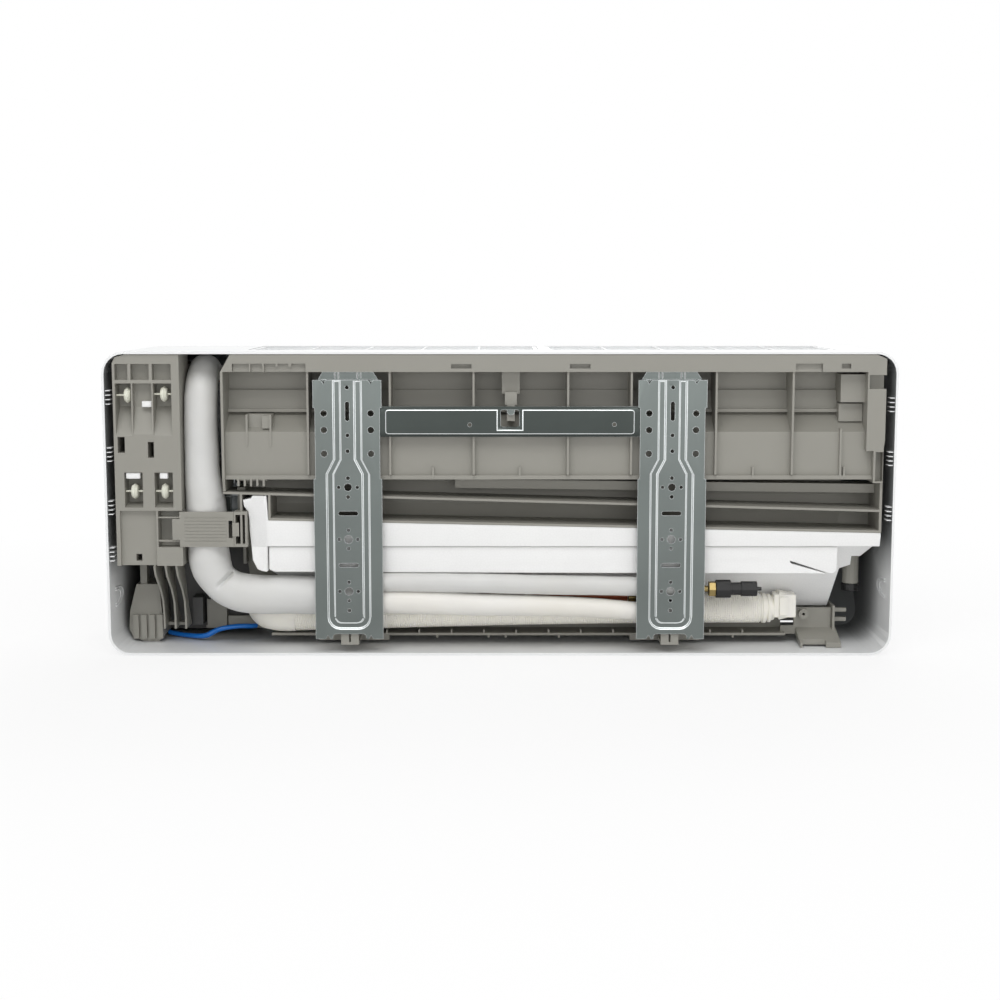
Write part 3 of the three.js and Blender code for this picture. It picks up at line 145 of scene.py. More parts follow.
def seen_directly(tree):
    """1 for a ray from the camera, or one that a shiny or clear surface sends on, and 0 for others."""
    ray = wire(tree, "LightPath", {})
    seen = wire(
        tree, "Math",
        {0: ray.outputs["Is Camera Ray"], 1: ray.outputs["Is Glossy Ray"]},
        operation="MAXIMUM",
    )
    return wire(
        tree, "Math", {0: seen.outputs[0], 1: ray.outputs["Is Transmission Ray"]}, operation="MAXIMUM"
    ).outputs[0]


strength = wire(sky, "MapRange", {"Value": seen_directly(sky), "To Min": 0.42, "To Max": 1.0})
light = wire(sky, "Background", {"Color": (1, 1, 1, 1), "Strength": strength.outputs[0]})
wire(sky, "OutputWorld", {"Surface": light.outputs[0]})

bpy.ops.mesh.primitive_plane_add(size=FLOOR_SIZE, location=(0, 0, cad_box[0].z - FLOOR_DROP))
floor = bpy.context.object
floor.name = "floor"
paper = bpy.data.materials.new("floor paper")
paper.use_nodes = True
tree = paper.node_tree
tree.nodes.clear()
where = wire(tree, "TexCoord", {})
away = wire(tree, "VectorMath", {0: where.outputs["Object"]}, operation="LENGTH")
fade = wire(
    tree,
    "MapRange",
    {"Value": away.outputs["Value"], "From Min": 0.45, "From Max": 1.1, "To Min": 0.78},
)
part = wire(tree, "Math", {0: seen_directly(tree), 1: fade.outputs[0]}, operation="MULTIPLY")
matt = wire(tree, "BsdfDiffuse", {"Color": shade(248, 248, 248)})
glow = wire(tree, "Emission", {"Color": (1, 1, 1, 1), "Strength": 1.0})
mixed = wire(tree, "MixShader", {0: part.outputs[0], 1: matt.outputs[0], 2: glow.outputs[0]})
wire(tree, "OutputMaterial", {"Surface": mixed.outputs[0]})
floor.data.materials.append(paper)

# ---- Wall plate -----------------------------------------------------------------------------
# Two upright brackets and the bar between them, pressed from galvanised sheet 1.5 mm thick. The
# wall screws go through their holes. The zinc is smooth, with a painted highlight on each pressed edge.

MM = 0.001
BRACKETS = {"right": 153.5, "left": -173.5}
GROOVE_FLOOR = -2.4
GROUP_HEIGHTS = (-108.2, -161.6)
GROUP_REACH = 9.4
NOTCH_REACH = 23.8
SCREW_REACH = 23.6
SCREW_HEIGHTS = (19.7, 2.9)


def pick(piece):
    """Leaves this piece alone selected and active."""
    bpy.ops.object.select_all(action="DESELECT")
    piece.select_set(True)
    bpy.context.view_layer.objects.active = piece


def begin_edit(piece, kind="FACE"):
    """Opens a piece in edit mode, with nothing selected."""
    pick(piece)
    bpy.ops.object.mode_set(mode="EDIT")
    bpy.context.tool_settings.mesh_select_mode = (kind == "VERT", kind == "EDGE", kind == "FACE")
    bpy.ops.mesh.select_all(action="DESELECT")


def end_edit():
    bpy.ops.object.mode_set(mode="OBJECT")
    bpy.ops.object.select_all(action="DESELECT")


def choose_faces(piece, wanted):
    """Selects, in edit mode, the faces whose middle, in mm, and normal suit."""
    mesh = bmesh.from_edit_mesh(piece.data)
    for face in mesh.faces:
        face.select_set(wanted(face.calc_center_median() / MM, face.normal))
    bmesh.update_edit_mesh(piece.data)


def choose_edges(piece, wanted):
    """Selects, in edit mode, the edges whose middle, in mm, ends and two face normals suit."""
    mesh = bmesh.from_edit_mesh(piece.data)
    for edge in mesh.edges:
        ends = [vert.co / MM for vert in edge.verts]
        normals = [face.normal for face in edge.link_faces]
        edge.select_set(wanted((ends[0] + ends[1]) / 2, ends, normals))
    bmesh.update_edit_mesh(piece.data)


def apply_modifier(piece, kind, **settings):
    pick(piece)
    modifier = piece.modifiers.new(kind.lower(), kind)
    for key, value in settings.items():
        setattr(modifier, key, value)
    bpy.ops.object.modifier_apply(modifier=modifier.name)
    bpy.ops.object.select_all(action="DESELECT")


def round_edges(piece, width, rounds=2, angle=40):
    """Rounds every edge sharper than an angle, by a width in mm."""
    apply_modifier(
        piece,
        "BEVEL",
        width=width * MM,
        segments=rounds,
        limit_method="ANGLE",
        angle_limit=math.radians(angle),
    )


def place_in_mesh(piece):
    """Moves the object's place and turn into its mesh, so that the object sits at the origin."""
    pick(piece)
    bpy.ops.object.transform_apply(location=True, rotation=True, scale=True)
    bpy.ops.object.select_all(action="DESELECT")


def face_outwards(piece):
    begin_edit(piece)
    bpy.ops.mesh.select_all(action="SELECT")
    bpy.ops.mesh.remove_doubles(threshold=0.000001)
    bpy.ops.mesh.normals_make_consistent(inside=False)
    end_edit()


def smooth(piece, angle=40):
    pick(piece)
    bpy.ops.object.shade_smooth_by_angle(angle=math.radians(angle))
    bpy.ops.object.select_all(action="DESELECT")


def smooth_sheet(piece, angle=50):
    """Smooths the bends of a pressed or moulded piece, and keeps its flat faces flat."""
    smooth(piece, angle)
    apply_modifier(piece, "WEIGHTED_NORMAL", keep_sharp=True, weight=100)


def block(name, low, high, edge=0.3, rounds=2):
    """A rounded block between two corners in mm."""
    low, high = Vector(low), Vector(high)
    bpy.ops.object.select_all(action="DESELECT")
    bpy.ops.mesh.primitive_cube_add(size=1, location=(low + high) / 2 * MM, scale=(high - low) * MM)
    piece = bpy.context.object
    piece.name = name
    place_in_mesh(piece)
    if edge:
        round_edges(piece, edge, rounds)
    return piece


def peg(name, centre, radius, length, turn=(0, 0, 0), sides=20):
    """A round peg about a centre in mm, along Z before it is turned by angles in degrees."""
    bpy.ops.object.select_all(action="DESELECT")
    bpy.ops.mesh.primitive_cylinder_add(
        vertices=sides, radius=radius * MM, depth=length * MM, location=Vector(centre) * MM,
        rotation=[math.radians(angle) for angle in turn],
    )
    piece = bpy.context.object
    piece.name = name
    place_in_mesh(piece)
    return piece


def outline_plate(name, outline, near, far):
    """A plate with this outline in X and Z, between two depths in mm."""
    bpy.ops.object.select_all(action="DESELECT")
    bpy.ops.mesh.primitive_circle_add(vertices=len(outline), fill_type="NGON", location=(0, 0, 0))
    piece = bpy.context.object
    piece.name = name
    for vert, (x, z) in zip(piece.data.vertices, outline):
        vert.co = Vector((x, near, z)) * MM
    begin_edit(piece)
    bpy.ops.mesh.select_all(action="SELECT")
    bpy.ops.mesh.extrude_region_move(TRANSFORM_OT_translate={"value": (0, (far - near) * MM, 0)})
    bpy.ops.mesh.select_all(action="SELECT")
    bpy.ops.mesh.normals_make_consistent(inside=False)
    end_edit()
    return piece


def join(name, pieces):
    """One piece made of several."""
    bpy.ops.object.select_all(action="DESELECT")
    for piece in pieces:
        piece.select_set(True)
    bpy.context.view_layer.objects.active = pieces[0]
    if len(pieces) > 1:
        bpy.ops.object.join()
    whole = bpy.context.object
    whole.name = name
    whole.data.name = name
    bpy.ops.object.select_all(action="DESELECT")
    return whole


def cad_copy(node, name, flat=1):
    """A copy of a CAD solid as a piece of its own, with its flat faces joined if asked."""
    pick(frame["nodes"][node])
    bpy.ops.object.duplicate()
    piece = bpy.context.object
    piece.name = name
    piece.data.name = name
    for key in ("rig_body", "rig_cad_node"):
        del piece[key]
    piece.parent = None
    piece.data.materials.clear()
    begin_edit(piece)
    bpy.ops.mesh.select_all(action="SELECT")
    bpy.ops.mesh.remove_doubles(threshold=0.00001)
    if flat:
        bpy.ops.mesh.dissolve_limited(angle_limit=math.radians(flat))
    end_edit()
    return piece


def cut_with(piece, cutter):
    """Cuts a tool's shape out of a piece, and puts the tool away."""
    apply_modifier(piece, "BOOLEAN", object=cutter, operation="DIFFERENCE", solver="EXACT")
    bpy.data.objects.remove(cutter)


def finish_piece(piece, finish, body, slot, *nodes):
    """Gives a piece its material if it has none, its body and the CAD nodes it replaces. The slot is not
    used.
    """
    if finish:
        piece.data.materials.clear()
        piece.data.materials.append(finish)
    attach(piece, body)
    if nodes:
        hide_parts(*nodes)


def new_group(name, inputs, outputs):
    """An empty shader group with these sockets, each a name, a kind and a value."""
    group = bpy.data.node_groups.new(name, "ShaderNodeTree")
    for label, kind, value in inputs:
        socket = group.interface.new_socket(label, in_out="INPUT", socket_type="NodeSocket" + kind)
        socket.default_value = value
    for label, kind in outputs:
        group.interface.new_socket(label, in_out="OUTPUT", socket_type="NodeSocket" + kind)
    return group, group.nodes.new("NodeGroupInput"), group.nodes.new("NodeGroupOutput")


def edge_mask_group():
    """A mask that is 1 along outside and inside edges, broken up by fine noise."""
    group, given, out = new_group(
        "edge mask", [("Width", "Float", 0.0006), ("Breakup", "Float", 0.5)], [("Mask", "Float")]
    )
    bevel = wire(group, "Bevel", {"Radius": given.outputs["Width"]}, samples=4)
    flat = wire(group, "NewGeometry", {})
    along = wire(
        group, "VectorMath", {0: bevel.outputs[0], 1: flat.outputs["Normal"]}, operation="DOT_PRODUCT"
    )
    edge = wire(group, "MapRange", {"Value": along.outputs["Value"], "From Min": 0.99, "From Max": 0.86})
    where = wire(group, "TexCoord", {})
    noise = wire(group, "TexNoise", {"Vector": where.outputs["Object"], "Scale": 140.0, "Detail": 3.0})
    broken = wire(group, "MapRange", {"Value": noise.outputs[0], "From Min": 0.3, "From Max": 0.6})
    kept = wire(group, "Mix", {0: given.outputs["Breakup"], 2: 1.0, 3: broken.outputs[0]})
    mask = wire(group, "Math", {0: edge.outputs[0], 1: kept.outputs[0]}, operation="MULTIPLY")
    group.links.new(mask.outputs[0], out.inputs["Mask"])
    return group


def mottle_group():
    """A colour with soft light and dark patches in it."""
    group, given, out = new_group(
        "mottle",
        [("Colour", "Color", (0.5, 0.5, 0.5, 1)), ("Amount", "Float", 0.1), ("Size", "Float", 12.0)],
        [("Colour", "Color"), ("Patch", "Float")],
    )
    where = wire(group, "TexCoord", {})
    noise = wire(
        group, "TexNoise", {"Vector": where.outputs["Object"], "Scale": given.outputs["Size"], "Detail": 4.0}
    )
    patch = wire(group, "MapRange", {"Value": noise.outputs[0], "From Min": 0.3, "From Max": 0.7})
    less = wire(group, "Math", {0: 1.0, 1: given.outputs["Amount"]}, operation="SUBTRACT")
    more = wire(group, "Math", {0: 1.0, 1: given.outputs["Amount"]}, operation="ADD")
    level = wire(
        group, "MapRange", {"Value": patch.outputs[0], "To Min": less.outputs[0], "To Max": more.outputs[0]}
    )
    tinted = wire(
        group, "VectorMath", {0: given.outputs["Colour"], "Scale": level.outputs[0]}, operation="SCALE"
    )
    group.links.new(tinted.outputs[0], out.inputs["Colour"])
    group.links.new(patch.outputs[0], out.inputs["Patch"])
    return group


EDGE_MASK = edge_mask_group()
MOTTLE = mottle_group()


def use_group(tree, group, sockets):
    node = tree.nodes.new("ShaderNodeGroup")
    node.node_tree = group
    return join_up(tree, node, sockets)


def new_finish(name):
    """A material with its nodes cleared, its tree, and the place on the piece."""
    finish = bpy.data.materials.new(name)
    finish.use_nodes = True
    tree = finish.node_tree
    tree.nodes.clear()
    return finish, tree, wire(tree, "TexCoord", {}).outputs["Object"]


def close_finish(tree, **sockets):
    """The surface of a material, with its colour, gloss and normal joined."""
    named = {key.replace("_", " "): value for key, value in sockets.items()}
    surface = wire(tree, "BsdfPrincipled", named)
    wire(tree, "OutputMaterial", {"Surface": surface.outputs[0]})


def edge_toned_colour(tree, colour, amount, size, edge_tone, width, breakup, much):
    """A mottled colour that turns paler or darker along the edges."""
    mottle = use_group(tree, MOTTLE, {"Colour": colour, "Amount": amount, "Size": size})
    edge = use_group(tree, EDGE_MASK, {"Width": width, "Breakup": breakup})
    share = wire(tree, "Math", {0: edge.outputs["Mask"], 1: much}, operation="MULTIPLY")
    mixed = wire(
        tree, "Mix", {0: share.outputs[0], 6: mottle.outputs["Colour"], 7: edge_tone}, data_type="RGBA"
    )
    return mixed.outputs[2], mottle.outputs["Patch"]


def metal_finish(name, colour, bright, rough, stretch, width=0.0008, much=0.8, metallic=0.9):
    """Bare metal with fine lines along its rolled or drawn direction, and bright edges."""
    finish, tree, place = new_finish(name)
    base, patch = edge_toned_colour(tree, colour, 0.07, 14.0, bright, width, 0.2, much)
    rolled = wire(tree, "Mapping", {"Vector": place, "Scale": stretch})
    streak = wire(tree, "TexNoise", {"Vector": rolled.outputs[0], "Scale": 1.0, "Detail": 2.0})
    gloss = wire(
        tree, "MapRange", {"Value": streak.outputs[0], "To Min": rough - 0.05, "To Max": rough + 0.07}
    )
    bump = wire(tree, "Bump", {"Height": streak.outputs[0], "Strength": 0.1, "Distance": 0.0002})
    close_finish(
        tree, Base_Color=base, Metallic=metallic, Roughness=gloss.outputs[0], Normal=bump.outputs[0]
    )
    return finish


# The pale edge colour of this zinc is a painted highlight along its pressed edges.
ZINC = metal_finish(
    "galvanised steel", shade(108, 114, 112), shade(222, 226, 226), 0.33, (900, 900, 14), 0.001
)
# The crossbar's zinc is the same sheet painted darker, a painted shade for the dark it reflects, and its pale
# edges are a painted highlight.
SHADED_ZINC = metal_finish("zinc painted darker", shade(64, 69, 67), shade(206, 210, 210), 0.3, (14, 900, 900), 0.001)
# A near-white zinc for the rounded pressed edges: a painted highlight.
HIGHLIGHT_ZINC = metal_finish(
    "zinc painted highlight", shade(228, 232, 232), shade(246, 248, 248), 0.3, (900, 900, 14), 0.001
)


def press_edges(piece, finish, wanted, width):
    """Rounds the chosen edges of a pressed sheet by a width in mm, and gives the rounding a painted
    highlight.
    """
    piece.data.materials.append(finish)
    piece.data.materials.append(HIGHLIGHT_ZINC)
    begin_edit(piece, "EDGE")
    choose_edges(piece, wanted)
    bpy.ops.mesh.bevel(offset=width * MM, segments=3, profile=0.5)
    # The rounding takes the near-white zinc, a painted highlight.
    piece.active_material_index = 1
    bpy.context.tool_settings.mesh_select_mode = (False, False, True)
    bpy.ops.object.material_slot_assign()
    end_edit()


FACE_SLACK = 0.01
FLOOR_SLACK = 0.02
UPRIGHT = 0.3


def on_groove(side):
    """Chooses the rims and the floor of the pressed groove that runs round a bracket's middle."""

    def wanted(middle, ends, normals):
        u = abs(middle.x - BRACKETS[side])
        z = middle.z
        if z > -27:
            inside = 6.5 < u < 14.5
        elif z > -41.5:
            inside = 6.5 < u < 22
        elif z > -188:
            inside = 14 < u < 22
        else:
            inside = u < 22 and -201.5 < z < -190
        on_face = all(abs(end.y) < FACE_SLACK for end in ends)
        on_floor = all(abs(end.y - GROOVE_FLOOR) < FLOOR_SLACK for end in ends)
        level = on_face or on_floor
        faces = len(normals) == 2 and max(normal.y for normal in normals) > 0.9
        return inside and level and faces and min(abs(normal.y) for normal in normals) < UPRIGHT

    return wanted


for side, middle in BRACKETS.items():
    bracket = cad_copy(f"bracket_{side}", f"pressed_bracket_{side}", 0)
    drills = [
        peg("drill", (middle + across, 0, height + rise), 1.7, 8, (90, 0, 0), 14)
        for height in GROUP_HEIGHTS
        for across, rise in ((-GROUP_REACH, 0), (GROUP_REACH, 0), (0, -GROUP_REACH), (0, GROUP_REACH))
    ]
    notches = [
        outline_plate(
            "notch",
            [(middle + across - 3.6, 54), (middle + across + 3.6, 54), (middle + across, 50)], 1, -9,
        )
        for across in (-NOTCH_REACH, NOTCH_REACH)
    ]
    cut_with(bracket, join("tools", drills + notches))
    press_edges(bracket, ZINC, on_groove(side), 1.0)
    hook_ribs = [
        block("rib", (middle + across - 0.5, -12.2, 54.4), (middle + across + 0.5, -11.2, 60.4), 0.3)
        for across in (-13, -9.5, 9.5, 13)
    ]
    whole = join(f"pressed_bracket_{side}", [bracket, *hook_ribs])
    smooth_sheet(whole, 35)
    finish_piece(whole, None, "wall_plate", "steel", f"bracket_{side}")

bar = cad_copy("crossbar", "pressed_crossbar", 0)
bar_drills = [
    peg("drill", (BRACKETS[side] + across, 0, height), 3.5, 12, (90, 0, 0), 20)
    for side, across in (("right", -SCREW_REACH), ("left", SCREW_REACH))
    for height in SCREW_HEIGHTS
]
cut_with(bar, join("drills", bar_drills))
# The crossbar takes the darker zinc, which is painted shade.
press_edges(
    bar,
    SHADED_ZINC,
    lambda middle, ends, normals: all(abs(end.y) < FACE_SLACK for end in ends)
    and len(normals) == 2
    and not (abs(abs(middle.x + 42.3) - 72.7) < 2.6 and abs(middle.z - 8.4) < 2.6)
    and min(abs(normal.y) for normal in normals) < UPRIGHT,
    1.0,
)
smooth_sheet(bar, 35)
finish_piece(bar, None, "wall_plate", "steel", "crossbar")


def dress(node, finish, edge=0.3, angle=34):
    """Gives a CAD node its finish, and a fine rounding in mm on its edges."""
    piece = frame["nodes"][node]
    piece.data.materials.clear()
    piece.data.materials.append(finish)
    weld = piece.modifiers.new("weld", "WELD")
    weld.merge_threshold = 0.00001
    bevel = piece.modifiers.new("edges", "BEVEL")
    bevel.width = edge * MM
    bevel.segments = 2
    bevel.limit_method = "ANGLE"
    bevel.angle_limit = math.radians(angle)


dress("centre_screw", ZINC, 0.3)

# ---- Casing ---------------------------------------------------------------------------------
# The white housing is moulded in one piece and open at the back. Inside each end wall stand short
# fins in four groups, which key the chassis, and lower down two curved stiffening ribs.

WALL_INSIDE = 397.2
FIN_PITCH = 4.5
FIN_GROUPS = {"right": (1, (42.2, -15.5, -69.7, -117.5)), "left": (-1, (34.8, -19.8, -75.8))}
ARC_HEIGHTS = {"right": -172, "left": -163}
ARC_DEPTH = -28


def plastic_finish(name, colour, edge_tone, rough=0.42, grain=1400.0, depth=0.00006, amount=0.03, wear=0.4):
    """Moulded plastic with a fine eroded grain, flow patches and paler edges."""
    finish, tree, place = new_finish(name)
    base, patch = edge_toned_colour(tree, colour, amount, 9.0, edge_tone, 0.0006, 0.5, wear)
    fine = wire(tree, "TexNoise", {"Vector": place, "Scale": grain, "Detail": 2.0})
    gloss = wire(tree, "MapRange", {"Value": patch, "To Min": rough - 0.05, "To Max": rough + 0.06})
    bump = wire(tree, "Bump", {"Height": fine.outputs[0], "Strength": 0.5, "Distance": depth})
    close_finish(tree, Base_Color=base, Roughness=gloss.outputs[0], Normal=bump.outputs[0])
    return finish


def housing_finish(name, colour, edge_tone, painted_shade):
    """White moulding with painted shade on its inside faces: high on the end walls, and deeper in towards the
    front.
    """
    finish, tree, place = new_finish(name)
    base, patch = edge_toned_colour(tree, colour, 0.02, 9.0, edge_tone, 0.0006, 0.5, 0.4)
    spot = wire(tree, "SeparateXYZ", {"Vector": place})
    way = wire(tree, "SeparateXYZ", {"Vector": wire(tree, "NewGeometry", {}).outputs["Normal"]})
    side = wire(tree, "Math", {0: spot.outputs["X"]}, operation="SIGN")
    inward = wire(tree, "Math", {0: way.outputs["X"], 1: side.outputs[0]}, operation="MULTIPLY")
    wall = wire(tree, "MapRange", {"Value": inward.outputs[0], "From Min": -0.4, "From Max": -0.8})
    height = wire(tree, "MapRange", {"Value": spot.outputs["Z"], "From Min": -0.15, "From Max": -0.11})
    high_wall = wire(tree, "Math", {0: wall.outputs[0], 1: height.outputs[0]}, operation="MULTIPLY")
    deep = wire(tree, "MapRange", {"Value": spot.outputs["Y"], "From Min": -0.05, "From Max": -0.13})
    back = wire(tree, "MapRange", {"Value": way.outputs["Y"], "From Min": 0.3, "From Max": 0.6})
    low = wire(tree, "MapRange", {"Value": spot.outputs["Z"], "From Min": 0.06, "From Max": 0.04})
    up = wire(tree, "MapRange", {"Value": way.outputs["Z"], "From Min": 0.5, "From Max": 0.8})
    floor_face = wire(tree, "Math", {0: up.outputs[0], 1: low.outputs[0]}, operation="MULTIPLY")
    inner = wire(tree, "Math", {0: back.outputs[0], 1: floor_face.outputs[0]}, operation="MAXIMUM")
    inner = wire(tree, "Math", {0: inner.outputs[0], 1: wall.outputs[0]}, operation="MAXIMUM")
    deep_face = wire(tree, "Math", {0: inner.outputs[0], 1: deep.outputs[0]}, operation="MULTIPLY")
    # Painted shade: this mask darkens the upper inside end walls and the deep inside faces towards a dark
    # grey.
    share = wire(tree, "Math", {0: high_wall.outputs[0], 1: deep_face.outputs[0]}, operation="MAXIMUM")
    cloud = wire(tree, "TexNoise", {"Vector": place, "Scale": 14.0, "Detail": 4.0})
    level = wire(tree, "MapRange", {"Value": cloud.outputs[0], "To Min": 0.75, "To Max": 1.0})
    amount = wire(tree, "Math", {0: share.outputs[0], 1: level.outputs[0]}, operation="MULTIPLY")
    mixed = wire(tree, "Mix", {0: amount.outputs[0], 6: base, 7: painted_shade}, data_type="RGBA")
    fine = wire(tree, "TexNoise", {"Vector": place, "Scale": 1400.0, "Detail": 2.0})
    gloss = wire(tree, "MapRange", {"Value": patch, "To Min": 0.31, "To Max": 0.42})
    bump = wire(tree, "Bump", {"Height": fine.outputs[0], "Strength": 0.5, "Distance": 0.00003})
    close_finish(tree, Base_Color=mixed.outputs[2], Roughness=gloss.outputs[0], Normal=bump.outputs[0])
    return finish


WHITE_PLASTIC = plastic_finish(
    "white plastic", shade(236, 237, 237), shade(247, 248, 248), 0.36, depth=0.00003
)
# The last colour is the painted shade of the casing's inside faces.
HOUSING = housing_finish("white housing", shade(236, 237, 237), shade(247, 248, 248), shade(112, 115, 116))
dress("casing", HOUSING, 0.4)
for side, (sign, tops) in FIN_GROUPS.items():
    near, far = sorted((sign * 392.2, sign * WALL_INSIDE))
    fins = [
        block(
            "fin", (near, -15, top - step * FIN_PITCH - 0.45), (far, -3.4, top - step * FIN_PITCH + 0.45), 0.4
        )
        for top in tops
        for step in range(4)
    ]
    for radius, reach in ((9.5, 3.2), (7, 2.6)):
        place = Vector((sign * (WALL_INSIDE - 0.4), ARC_DEPTH, ARC_HEIGHTS[side])) * MM
        bpy.ops.object.select_all(action="DESELECT")
        bpy.ops.mesh.primitive_torus_add(
            major_radius=radius * MM, minor_radius=0.7 * MM, major_segments=40, minor_segments=10,
            location=place, rotation=(0, math.radians(90), 0),
        )
        arc = bpy.context.object
        place_in_mesh(arc)
        begin_edit(arc)
        bpy.ops.mesh.select_all(action="SELECT")
        bpy.ops.mesh.bisect(
            plane_co=place + Vector((0, 1, 0)) * MM, plane_no=(0, 1, 0), clear_outer=True, use_fill=True
        )
        bpy.ops.mesh.select_all(action="SELECT")
        bpy.ops.transform.resize(value=(1, reach, 1), center_override=place)
        end_edit()
        fins.append(arc)
    finish_piece(join(f"wall_fins_{side}", fins), WHITE_PLASTIC, "unit", "casing")

# ---- Chassis --------------------------------------------------------------------------------
# The grey back frame, moulded in ABS. It carries the coil, the fan and the motor, and its long
# back wall is stiffened by upright ribs.

GREY_PLASTIC = plastic_finish("grey plastic", shade(146, 144, 136), shade(182, 180, 171), 0.5)
for name in ("service_block", "pipe_clip", "drain_pan", "terminal_cover", "control_box"):
    dress(name, GREY_PLASTIC, 0.3)
for name in ("vane_link", *(f"vane_{number}" for number in range(1, 9))):
    dress(name, GREY_PLASTIC, 0.2)

POCKETS = ((251.8, 268.8), (238.7, 250.4), (225.1, 236.7), (212.1, 223.0), (195.0, 209.4))


chassis = cad_copy("chassis", "chassis_frame")
cut_with(
    chassis,
    join("pocket tools", [block("tool", (low, -7.6, 60), (high, 1, 69.4), 0) for low, high in POCKETS]),
)
round_edges(chassis, 0.3, 2, 34)
rail_web = block("rail_web", (-386, -8.6, 63), (269, -7.4, 76), 0.2)
end_web = block("end_web", (-386, -60, -126), (-354, -58, -58), 0.2)
chassis = join("chassis_frame", [chassis, rail_web, end_web])
finish_piece(chassis, GREY_PLASTIC, "unit", "chassis", "chassis")

# ---- Pipe bundle ----------------------------------------------------------------------------
# The two copper pipes leave the coil inside one thick sleeve of white polyethylene foam, which is
# slit and glued along its length. It comes over the coil end, down behind the clip and along, and
# it kinks where it turns.


def bent_tube(name, route, sides=28, steps=6):
    """A closed round tube drawn as a curve through places in mm, each with its own radius."""
    bpy.ops.object.select_all(action="DESELECT")
    bpy.ops.curve.primitive_bezier_curve_add(location=(0, 0, 0))
    piece = bpy.context.object
    piece.name = name
    line = piece.data
    spline = line.splines[0]
    spline.bezier_points.add(len(route) - 2)
    for point, (x, y, z, radius) in zip(spline.bezier_points, route):
        point.co = Vector((x, y, z)) * MM
        point.radius = radius
        point.handle_left_type = "AUTO"
        point.handle_right_type = "AUTO"
    line.resolution_u = steps
    line.bevel_depth = MM
    line.bevel_resolution = sides // 2 - 2
    line.use_fill_caps = True
    line.twist_mode = "MINIMUM"
    pick(piece)
    bpy.ops.object.convert(target="MESH")
    piece = bpy.context.object
    piece.data.name = name
    bpy.ops.object.select_all(action="DESELECT")
    face_outwards(piece)
    return piece


def ripple(piece, strength, size, depth=2):
    """Soft uneven dents, as thin foam has where it was bent and handled."""
    cloud = bpy.data.textures.new(piece.name + " dents", "CLOUDS")
    cloud.noise_scale = size * MM
    cloud.noise_depth = depth
    apply_modifier(
        piece, "DISPLACE", texture=cloud, texture_coords="LOCAL", strength=strength * MM, mid_level=0.5
    )


def fold(piece, start, end, width, depth):
    """Presses a crease into the back of a piece, between two places in X and Z, in mm."""
    start, end = Vector(start), Vector(end)
    along = end - start
    for vert in piece.data.vertices:
        place = Vector((vert.co.x, vert.co.z)) / MM
        share = min(1.0, max(0.0, (place - start).dot(along) / along.length_squared))
        away = (place - start - along * share).length / width
        if vert.normal.y > -0.3:
            vert.co.y -= depth * MM * (1 - 0.6 * share) * math.exp(-away * away)


def hollow_end(piece, at, reach, wall, depth):
    """Sinks the end face nearest a place, so that the tube shows its wall."""
    begin_edit(piece)
    choose_faces(piece, lambda middle, normal: (middle - Vector(at)).length < reach)
    bpy.ops.mesh.inset(thickness=wall * MM, depth=0)
    bpy.ops.mesh.inset(thickness=0.2 * MM, depth=-depth * MM)
    end_edit()


def soft_surface(tree, colour, height, rough, strength, distance, subsurface, radius):
    """The surface of soft foam or vinyl, with a little light passing through it."""
    gloss = wire(tree, "MapRange", {"Value": height, "To Min": rough - 0.08, "To Max": rough + 0.1})
    bump = wire(tree, "Bump", {"Height": height, "Strength": strength, "Distance": distance})
    skin = wire(
        tree, "BsdfPrincipled",
        {
            "Base Color": colour, "Roughness": gloss.outputs[0], "Normal": bump.outputs[0],
            "Subsurface Weight": subsurface, "Subsurface Radius": radius, "Subsurface Scale": 1.0,
        },
    )
    wire(tree, "OutputMaterial", {"Surface": skin.outputs[0]})


def sleeve_finish(name, colour, warm):
    """Closed-cell foam skin: satin, softly uneven, with fine pores and faint handling marks."""
    finish, tree, place = new_finish(name)
    mottle = use_group(tree, MOTTLE, {"Colour": colour, "Amount": 0.02, "Size": 30.0})
    stain = wire(tree, "TexNoise", {"Vector": place, "Scale": 7.0, "Detail": 3.0})
    part = wire(
        tree, "MapRange", {"Value": stain.outputs[0], "From Min": 0.42, "From Max": 0.75, "To Max": 0.6}
    )
    mixed = wire(tree, "Mix", {0: part.outputs[0], 6: mottle.outputs["Colour"], 7: warm}, data_type="RGBA")
    pores = wire(tree, "TexVoronoi", {"Vector": place, "Scale": 900.0}, feature="SMOOTH_F1")
    soft = wire(tree, "TexNoise", {"Vector": place, "Scale": 160.0, "Detail": 4.0})
    height = wire(tree, "Math", {0: pores.outputs[0], 1: soft.outputs[0]}, operation="MULTIPLY")
    soft_surface(tree, mixed.outputs[2], height.outputs[0], 0.5, 0.35, 0.0003, 0.2, (0.004, 0.004, 0.0035))
    return finish


SLEEVE = sleeve_finish("white foam sleeve", shade(211, 211, 209), shade(205, 203, 197))
bundle_route = [
    (304.8, -74, 56, 12.2), (304.8, -66, 58.2, 12.6), (304.8, -61, 59.4, 16.2), (304.8, -57, 60, 17.2),
    (304.8, -53.5, 59.4, 16.0), (305, -42, 54, 16.2),
    (305, -31.5, 42, 16.4), (305.1, -26.4, 26, 16.6), (305.3, -25.4, 1, 16.8),
    (305, -25.4, -20, 17.2), (304.4, -25.4, -45, 17.9), (303, -25.6, -62, 19.0), (301.6, -26, -76, 20.4),
    (301, -26.2, -90, 20.6), (301, -26, -104, 20.0), (300.4, -26, -118, 20.4), (299.6, -26.2, -131, 21.2),
    (296.4, -26.2, -143.5, 20.6), (289.5, -26, -154.5, 19.2),
    (279.5, -26, -162.5, 19.6), (266, -26, -167.4, 20.4),
    (248, -26, -169.2, 20.3), (220, -26, -169.6, 19.9), (192, -26, -170, 19.6), (170, -26, -170.4, 19.4),
    (150.5, -26, -170.6, 19.2),
]
